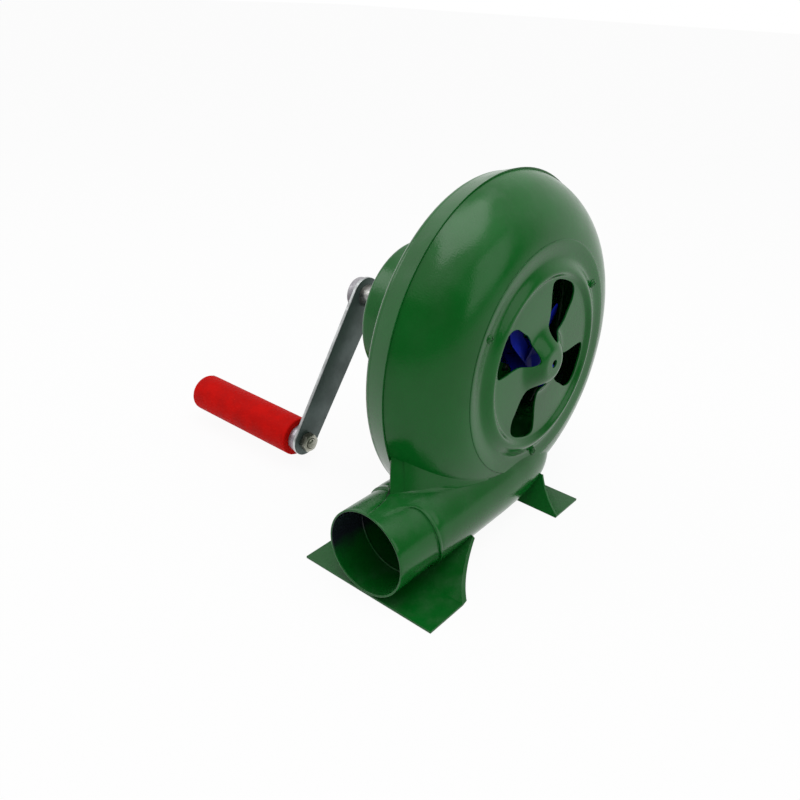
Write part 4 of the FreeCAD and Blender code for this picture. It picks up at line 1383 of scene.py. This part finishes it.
@dataclass
class Fan:
    """Impeller, its shaft and the bearings that carry it."""

    finishes: Finishes
    paddle_count: int = 4
    first_paddle: float = math.radians(-45)
    paddle_wall: float = 1.6 * MM
    root: float = -9.0 * MM
    reach: float = 42.0 * MM
    front: float = -20.0 * MM
    pitch: float = 0.32
    lead: float = -9.2 * MM
    trail: float = 9.0 * MM
    corner: float = 9.0 * MM
    hub: float = 10.0 * MM
    bore: float = 4.05 * MM
    disc: float = 17.0 * MM
    disc_wall: float = 2.0 * MM
    curl_from: float = 0.72
    curl_fade: float = 1.6

    def dress(self) -> None:
        """Give the CAD parts of the fan their metals."""
        for node in ("fan_shaft", "fan_washer", "fan_nut"):
            dress(node, self.finishes.plated)
        for node in ("fan_pinion", "lay_gear", "crank_gear", "lay_axle", "lay_clip"):
            dress(node, self.finishes.gear)
        for node in ("fan_bush_1", "fan_bush_2", "crank_bush"):
            dress(node, self.finishes.brass)
        dress("bearing_block", self.finishes.cast)
        dress("gear_plate", self.finishes.plate_enamel)
        for number in (1, 2, 3):
            dress(f"block_rivet_{number}", self.finishes.plated)

    def build(self) -> None:
        """Make the moulded impeller: hub, disc and pitched paddles."""
        low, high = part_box("impeller")
        spot = Spot.of("fan_shaft")
        front, back = low.y, high.y
        plate_front = back - self.disc_wall
        corners = [(self.bore, (front + back) / 2, 0), (self.bore, front, 0.4 * MM),
                   (self.hub, front, 1.5 * MM), (self.hub, plate_front, 3 * MM),
                   (self.disc, plate_front, 0.8 * MM), (self.disc, back, 0.8 * MM),
                   (self.bore, back, 0.4 * MM), (self.bore, (front + back) / 2, 0)]
        hub = lathe("impeller_hub", soften(corners), (spot.x, spot.z))
        settle(hub, Body.ROTOR, Slot.BLUE, self.finishes.blue, "impeller")
        for number in range(self.paddle_count):
            angle = self.first_paddle + number * 2 * math.pi / self.paddle_count
            self.paddle(f"impeller_paddle_{number + 1}", angle, (spot.x, spot.z), plate_front)

    def paddle(self, name: str, angle: float, centre: tuple[float, float],
               back: float) -> None:
        """Pitched paddle with rounded outer corners, which curls back to the disc.

        Args:
            name: the piece's name.
            angle: its direction about the shaft.
            centre: (x, z) of the shaft.
            back: y of the disc's front face.
        """
        outward = Vector((math.cos(angle), 0, math.sin(angle)))
        aside = Vector((math.sin(angle), 0, -math.cos(angle)))
        base = Vector((centre[0], 0, centre[1]))
        work = bmesh.new()
        rows, columns = 20, 14
        grid = []
        for row in range(rows + 1):
            along = row / rows
            line = []
            for column in range(columns + 1):
                across = column / columns
                edge = min(across, 1 - across) * (self.trail - self.lead)
                cut = 0.0
                if edge < self.corner:
                    cut = self.corner - math.sqrt(self.corner ** 2 - (self.corner - edge) ** 2)
                distance = self.root + (self.reach - cut - self.root) * along
                offset = self.lead + (self.trail - self.lead) * across
                y = self.front + (offset - self.lead) * self.pitch
                curl = max(0.0, across - self.curl_from) / (1 - self.curl_from)
                y += (back - y) * curl ** 2 * max(0.0, 1 - along * self.curl_fade)
                line.append(work.verts.new(base + outward * distance + aside * offset
                                           + Vector((0, y, 0))))
            grid.append(line)
        for first, second in zip(grid, grid[1:]):
            for column in range(columns):
                work.faces.new((first[column], first[column + 1],
                                second[column + 1], second[column]))
        bmesh.ops.solidify(work, geom=work.faces[:], thickness=self.paddle_wall)
        settle(to_piece(name, work, 50), Body.ROTOR, Slot.BLUE, self.finishes.blue)


@dataclass
class Drum:
    """Gear drum with its screws."""

    finishes: Finishes

    def dress(self) -> None:
        """Give the drum its enamel and its screws their plating."""
        dress("gear_drum", self.finishes.enamel)
        for number in (1, 2, 3, 4):
            dress(f"drum_screw_{number}", self.finishes.plated)
            dress(f"drum_nut_{number}", self.finishes.plated)


@dataclass
class Crank:
    """Crank shaft, flat arm and cast boss."""

    finishes: Finishes
    hub_radius: float = 14.5 * MM
    tip_radius: float = 11.8 * MM
    arm_edge: float = 0.45 * MM
    boss_edge: float = 1.6 * MM
    shaft_gap: float = 0.05 * MM
    arc_steps: int = 40

    def dress(self) -> None:
        """Give the CAD shaft and sleeves their metals."""
        for node in ("crank_shaft", "crank_sleeve", "crank_spacer"):
            dress(node, self.finishes.plated)

    def build(self) -> None:
        """Make the arm and its boss."""
        self.arm()
        self.boss()

    def arm(self) -> None:
        """Bar that tapers from hub to tip, with bare sheared sides."""
        hub, tip = Spot.of("crank_boss"), Spot.of("grip_collar")
        low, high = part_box("crank_arm")
        way = Vector((tip.x - hub.x, tip.z - hub.z))
        heading = math.atan2(way.y, way.x)
        lean = math.acos((self.hub_radius - self.tip_radius) / way.length)
        outline = []
        for centre, radius, first, last in (
                (tip, self.tip_radius, heading - lean, heading + lean),
                (hub, self.hub_radius, heading + lean, heading + 2 * math.pi - lean)):
            for step in range(self.arc_steps + 1):
                angle = first + (last - first) * step / self.arc_steps
                outline.append((centre.x + radius * math.cos(angle),
                                centre.z + radius * math.sin(angle)))
        piece = plate("crank_arm_bar", outline, low.y, high.y, self.arm_edge)
        piece.data.materials.append(self.finishes.dark)
        piece.data.materials.append(self.finishes.bare_edge)
        for face in piece.data.polygons:
            face.material_index = 1 if abs(face.normal.y) < 0.5 else 0
        settle(piece, Body.CRANK, Slot.DARK, self.finishes.dark, "crank_arm")

    def boss(self) -> None:
        """Cast boss with rounded edges."""
        spot = Spot.of("crank_boss")
        bore = Spot.of("crank_shaft").radius + self.shaft_gap
        profile = tube_profile(bore, spot.radius, spot.start, spot.end, self.boss_edge)
        piece = lathe("crank_boss_cast", profile, (spot.x, spot.z))
        settle(piece, Body.CRANK, Slot.CAST, self.finishes.cast, "crank_boss")


@dataclass
class Handle:
    """Bolt, nut, collar and the red grip."""

    finishes: Finishes
    bolt_radius: float = 4.0 * MM
    bolt_head: float = 5.0 * MM
    recess_radius: float = 8.0 * MM
    recess_depth: float = 9.0 * MM
    running_gap: float = 0.05 * MM
    thread_pitch: float = 1.25 * MM
    thread_depth: float = 0.45 * MM
    chamfer: float = 0.95
    collar_edge: float = 0.8 * MM
    end_round: float = 7.0 * MM
    near_round: float = 1.6 * MM
    parting_rise: float = 0.16 * MM
    parting_half: float = 0.035
    parting_turns: tuple[float, float] = (0.35, 1.35)
    waviness: float = 0.08 * MM

    def build(self) -> None:
        """Make all pieces of the handle."""
        self.nut()
        self.bolt()
        self.collar()
        self.grip()

    def nut(self) -> None:
        """Hexagon nut with chamfered corners."""
        low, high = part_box("handle_nut")
        across = min(high.z - low.z, high.x - low.x) / 2
        upright = high.z - low.z > high.x - low.x
        spot = Spot.of("handle_nut")
        thick = high.y - low.y
        middle = (low.y + high.y) / 2

        def hexagon(radius: float, y: float, angle: float) -> tuple[float, float]:
            """Pull the outer ring onto six flats and chamfer its corners."""
            if radius < across * 0.9:
                return radius, y
            start = angle if upright else angle + math.pi / 6
            turn = (start + math.pi / 6) % (math.pi / 3) - math.pi / 6
            flat = across / math.cos(turn)
            reach = min(flat, radius)
            drop = max(0.0, reach - across * self.chamfer) * 0.5
            limit = thick / 2 - drop
            return reach, middle + max(-limit, min(limit, y - middle))

        bore = self.bolt_radius
        edge = 0.6 * MM
        outer = across / math.cos(math.pi / 6)
        inner = bore + edge
        profile = [(bore, middle), (bore, low.y + edge), (inner, low.y),
                   (across * self.chamfer, low.y), (outer, low.y), (outer, middle),
                   (outer, high.y), (across * self.chamfer, high.y), (inner, high.y),
                   (bore, high.y - edge), (bore, middle)]
        piece = lathe("handle_nut_hexagon", profile, (spot.x, spot.z), 96, hexagon)
        settle(piece, Body.CRANK, Slot.PLATED, self.finishes.bolt, "handle_nut")

    def bolt(self) -> None:
        """Bolt with a threaded end in the nut and a head in the grip's recess."""
        low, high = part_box("handle_bolt")
        spot = Spot.of("handle_bolt")
        head = spot.radius
        head_start = high.y - self.bolt_head
        thread_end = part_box("handle_nut")[1].y
        radius = self.bolt_radius
        profile: Profile = [(0, low.y), (radius * 0.62, low.y), (radius * 0.86, low.y + 0.5 * MM)]
        y = low.y + 0.7 * MM
        while y < thread_end - self.thread_pitch:
            profile.append((radius - self.thread_depth, y))
            profile.append((radius, y + self.thread_pitch / 2))
            y += self.thread_pitch
        profile += [(radius, thread_end), (radius, head_start), (head * 0.96, head_start),
                    (head, head_start + 0.4 * MM), (head, high.y - 1.2 * MM),
                    (head * 0.86, high.y - 0.2 * MM), (head * 0.6, high.y), (0, high.y)]
        piece = lathe("handle_bolt_turned", profile, (spot.x, spot.z), 64)
        settle(piece, Body.CRANK, Slot.PLATED, self.finishes.bolt, "handle_bolt")

    def collar(self) -> None:
        """Turned spacer between the arm and the grip."""
        spot = Spot.of("grip_collar")
        profile = tube_profile(self.bolt_radius, spot.radius, spot.start, spot.end,
                               self.collar_edge)
        piece = lathe("grip_collar_turned", profile, (spot.x, spot.z))
        settle(piece, Body.CRANK, Slot.CAST, self.finishes.collar, "grip_collar")

    def grip(self) -> None:
        """Moulded grip with a rounded end, a recess for the bolt head and a parting line."""
        spot = Spot.of("red_grip")
        recess = self.recess_radius
        floor = spot.end - self.recess_depth
        bore = self.bolt_radius + self.running_gap
        middle = (spot.start + spot.end) / 2
        radius = spot.radius - self.parting_rise
        corners = [(bore, middle, 0), (bore, spot.start, 0.4 * MM),
                   (radius, spot.start, self.near_round), (radius, spot.end, self.end_round),
                   (recess, spot.end, 0.8 * MM), (recess, floor, 0.5 * MM),
                   (bore, floor, 0), (bore, middle, 0)]
        profile = self.even(soften(corners, 10), 2.5 * MM)

        def moulded(reach: float, y: float, angle: float) -> tuple[float, float]:
            """Add the parting line and a slight waviness to the outside."""
            if reach < radius * 0.8:
                return reach, y
            wave = noise.noise(Vector((math.cos(angle) * 3, y * 90, math.sin(angle) * 3)))
            seam = min(abs(angle - math.pi * turn) for turn in self.parting_turns)
            ridge = self.parting_rise * held(1 - seam / self.parting_half)
            return reach + ridge - self.waviness * abs(wave), y

        piece = lathe("red_grip_moulded", profile, (spot.x, spot.z), 160, moulded)
        settle(piece, Body.GRIP, Slot.RED, self.finishes.red, "red_grip")

    def even(self, profile: Profile, step: float) -> Profile:
        """Split the long runs of a profile.

        Args:
            profile: the profile.
            step: the longest run to keep.

        Returns:
            The finer profile.
        """
        finer = [profile[0]]
        for start, end in zip(profile, profile[1:]):
            count = max(1, math.ceil(math.dist(start, end) / step))
            for part in range(1, count + 1):
                share = part / count
                finer.append((start[0] + (end[0] - start[0]) * share,
                              start[1] + (end[1] - start[1]) * share))
        return finer


@dataclass
class Studio:
    """Floor, soft lamps, white surroundings and the camera."""

    focal_px: float = 797.62
    frame_px: float = 800.0
    centre_px: tuple[float, float] = (433.16, 380.34)
    position: tuple[float, float, float] = (-0.44117, -0.26999, 0.34506)
    right: tuple[float, float, float] = (0.62336, -0.78061, 0.04542)
    up: tuple[float, float, float] = (0.31592, 0.30456, 0.89858)
    lift: float = 1.0 * MM
    sensor: float = 36.0
    floor_size: float = 30.0
    dim_side: tuple[float, float, float] = (-0.64, -0.77, 0.0)
    world_dim: tuple[float, float] = (-0.2, 0.3)
    floor_dim: tuple[float, float] = (0.0, 0.22)
    dim_level: float = 0.1
    dim_top: tuple[float, float] = (0.45, 0.8)
    sky: float = 0.55
    floor_glow: float = 0.94

    def build(self) -> None:
        """Make the whole studio."""
        self.camera()
        self.floor()
        self.world()
        aim = Vector((0, 0.03, 0.12))
        self.lamp("top_box", Vector((-0.1, -0.15, 1.15)), aim, 0.75, 5.2)
        self.lamp("rear_box", Vector((-0.55, 1.0, 1.0)), aim, 0.55, 2.4)
        self.lamp("front_box", Vector((0.3, -1.3, 0.7)), aim, 0.8, 2.6)
        scene = bpy.context.scene
        scene.view_settings.view_transform = "Standard"

    def camera(self) -> None:
        """Camera at the photograph's place."""
        lens = bpy.data.cameras.new("photo_camera")
        lens.sensor_width = self.sensor
        lens.lens = self.focal_px / self.frame_px * self.sensor
        lens.shift_x = (self.frame_px / 2 - self.centre_px[0]) / self.frame_px
        lens.shift_y = (self.centre_px[1] - self.frame_px / 2) / self.frame_px
        lens.clip_start = 0.01
        camera = bpy.data.objects.new("photo_camera", lens)
        right, up = Vector(self.right), Vector(self.up)
        axes = Matrix((right, up, right.cross(up))).transposed().to_4x4()
        spot = Vector(self.position) + Vector((0, 0, self.lift))
        camera.matrix_world = Matrix.Translation(spot) @ axes
        bpy.context.scene.collection.objects.link(camera)
        bpy.context.scene.camera = camera

    def dimmed(self, graph: Graph, place: bpy.types.NodeSocket,
               span: tuple[float, float]) -> bpy.types.NodeSocket:
        """Level of what gloss mirrors, lower on the photographer's side.

        Args:
            graph: the graph of the floor's material or of the world.
            place: direction or place that is mirrored.
            span: distances toward that side between which it dims.

        Returns:
            The level's socket.
        """
        facing = graph.add("VectorMath", operation="DOT_PRODUCT")
        graph.feed(facing.inputs[0], place)
        facing.inputs[1].default_value = self.dim_side
        side = graph.spread(facing.outputs["Value"], *span)
        parts = graph.add("SeparateXYZ")
        graph.feed(parts.inputs[0], place)
        low = graph.spread(parts.outputs["Z"], *self.dim_top, 1.0, 0.0)
        return graph.spread(graph.maths("MULTIPLY", side, low), 0.0, 1.0, 1.0, self.dim_level)

    def floor(self) -> None:
        """Pale sweep that keeps a soft shadow."""
        work = bmesh.new()
        bmesh.ops.create_grid(work, x_segments=4, y_segments=4, size=self.floor_size / 2)
        piece = to_piece("studio_floor", work)
        material, graph, shader = new_material("studio_floor")
        shader.inputs["Base Color"].default_value = (0.86, 0.86, 0.86, 1)
        shader.inputs["Roughness"].default_value = 0.9
        shader.inputs["Specular IOR Level"].default_value = 0.0
        glow = graph.add("Emission")
        mixer = graph.add("MixShader")
        path = graph.add("LightPath")
        glossy = graph.maths("MULTIPLY", path.outputs["Is Glossy Ray"],
                             self.dimmed(graph, graph.place(), self.floor_dim))
        plain = graph.maths("MAXIMUM", path.outputs["Is Camera Ray"],
                            path.outputs["Is Transmission Ray"])
        graph.feed(mixer.inputs[0], graph.maths(
            "MULTIPLY", graph.maths("MAXIMUM", plain, glossy), self.floor_glow))
        graph.feed(mixer.inputs[1], shader.outputs[0])
        graph.feed(mixer.inputs[2], glow.outputs[0])
        output = material.node_tree.nodes["Material Output"]
        graph.feed(output.inputs["Surface"], mixer.outputs[0])
        piece.data.materials.append(material)

    def world(self) -> None:
        """White surroundings, a dim room on the photographer's side, a softer sky for the light."""
        world = bpy.data.worlds.new("studio")
        bpy.context.scene.world = world
        world.use_nodes = True
        graph = Graph(world.node_tree)
        ground = world.node_tree.nodes["Background"]
        path = graph.add("LightPath")
        way = graph.add("TexCoord").outputs["Generated"]
        mirrored = self.dimmed(graph, way, self.world_dim)
        plain = graph.maths("MAXIMUM", path.outputs["Is Camera Ray"],
                            path.outputs["Is Transmission Ray"])
        glossy = graph.maths("MULTIPLY", path.outputs["Is Glossy Ray"], mirrored)
        diffuse = graph.maths("MULTIPLY", path.outputs["Is Diffuse Ray"], self.sky)
        strength = graph.maths("ADD", graph.maths("MAXIMUM", plain, glossy), diffuse)
        ground.inputs["Color"].default_value = (1, 1, 1, 1)
        graph.feed(ground.inputs["Strength"], strength)

    def lamp(self, name: str, spot: Vector, aim: Vector, size: float, power: float) -> None:
        """Square soft box.

        Args:
            name: its name.
            spot: where it stands.
            aim: the point that it faces.
            size: its side.
            power: its watts.
        """
        light = bpy.data.lights.new(name, "AREA")
        light.shape = "SQUARE"
        light.size = size
        light.energy = power
        box = bpy.data.objects.new(name, light)
        box.location = spot
        box.rotation_euler = (aim - spot).to_track_quat("-Z", "Y").to_euler()
        bpy.context.scene.collection.objects.link(box)


def main() -> None:
    """Build the blower's looks and the studio."""
    logging.basicConfig(level=logging.INFO)
    finishes = Finishes()
    housing = Housing(finishes)
    housing.dress()
    housing.build()
    Grille(finishes).build()
    sleeve = Sleeve(finishes)
    sleeve.build()
    Duct(finishes, sleeve).build()
    Neck(finishes, sleeve).build()
    fan = Fan(finishes)
    fan.dress()
    fan.build()
    Drum(finishes).dress()
    crank = Crank(finishes)
    crank.dress()
    crank.build()
    Handle(finishes).build()
    Studio().build()


if __name__ == "__main__":
    main()
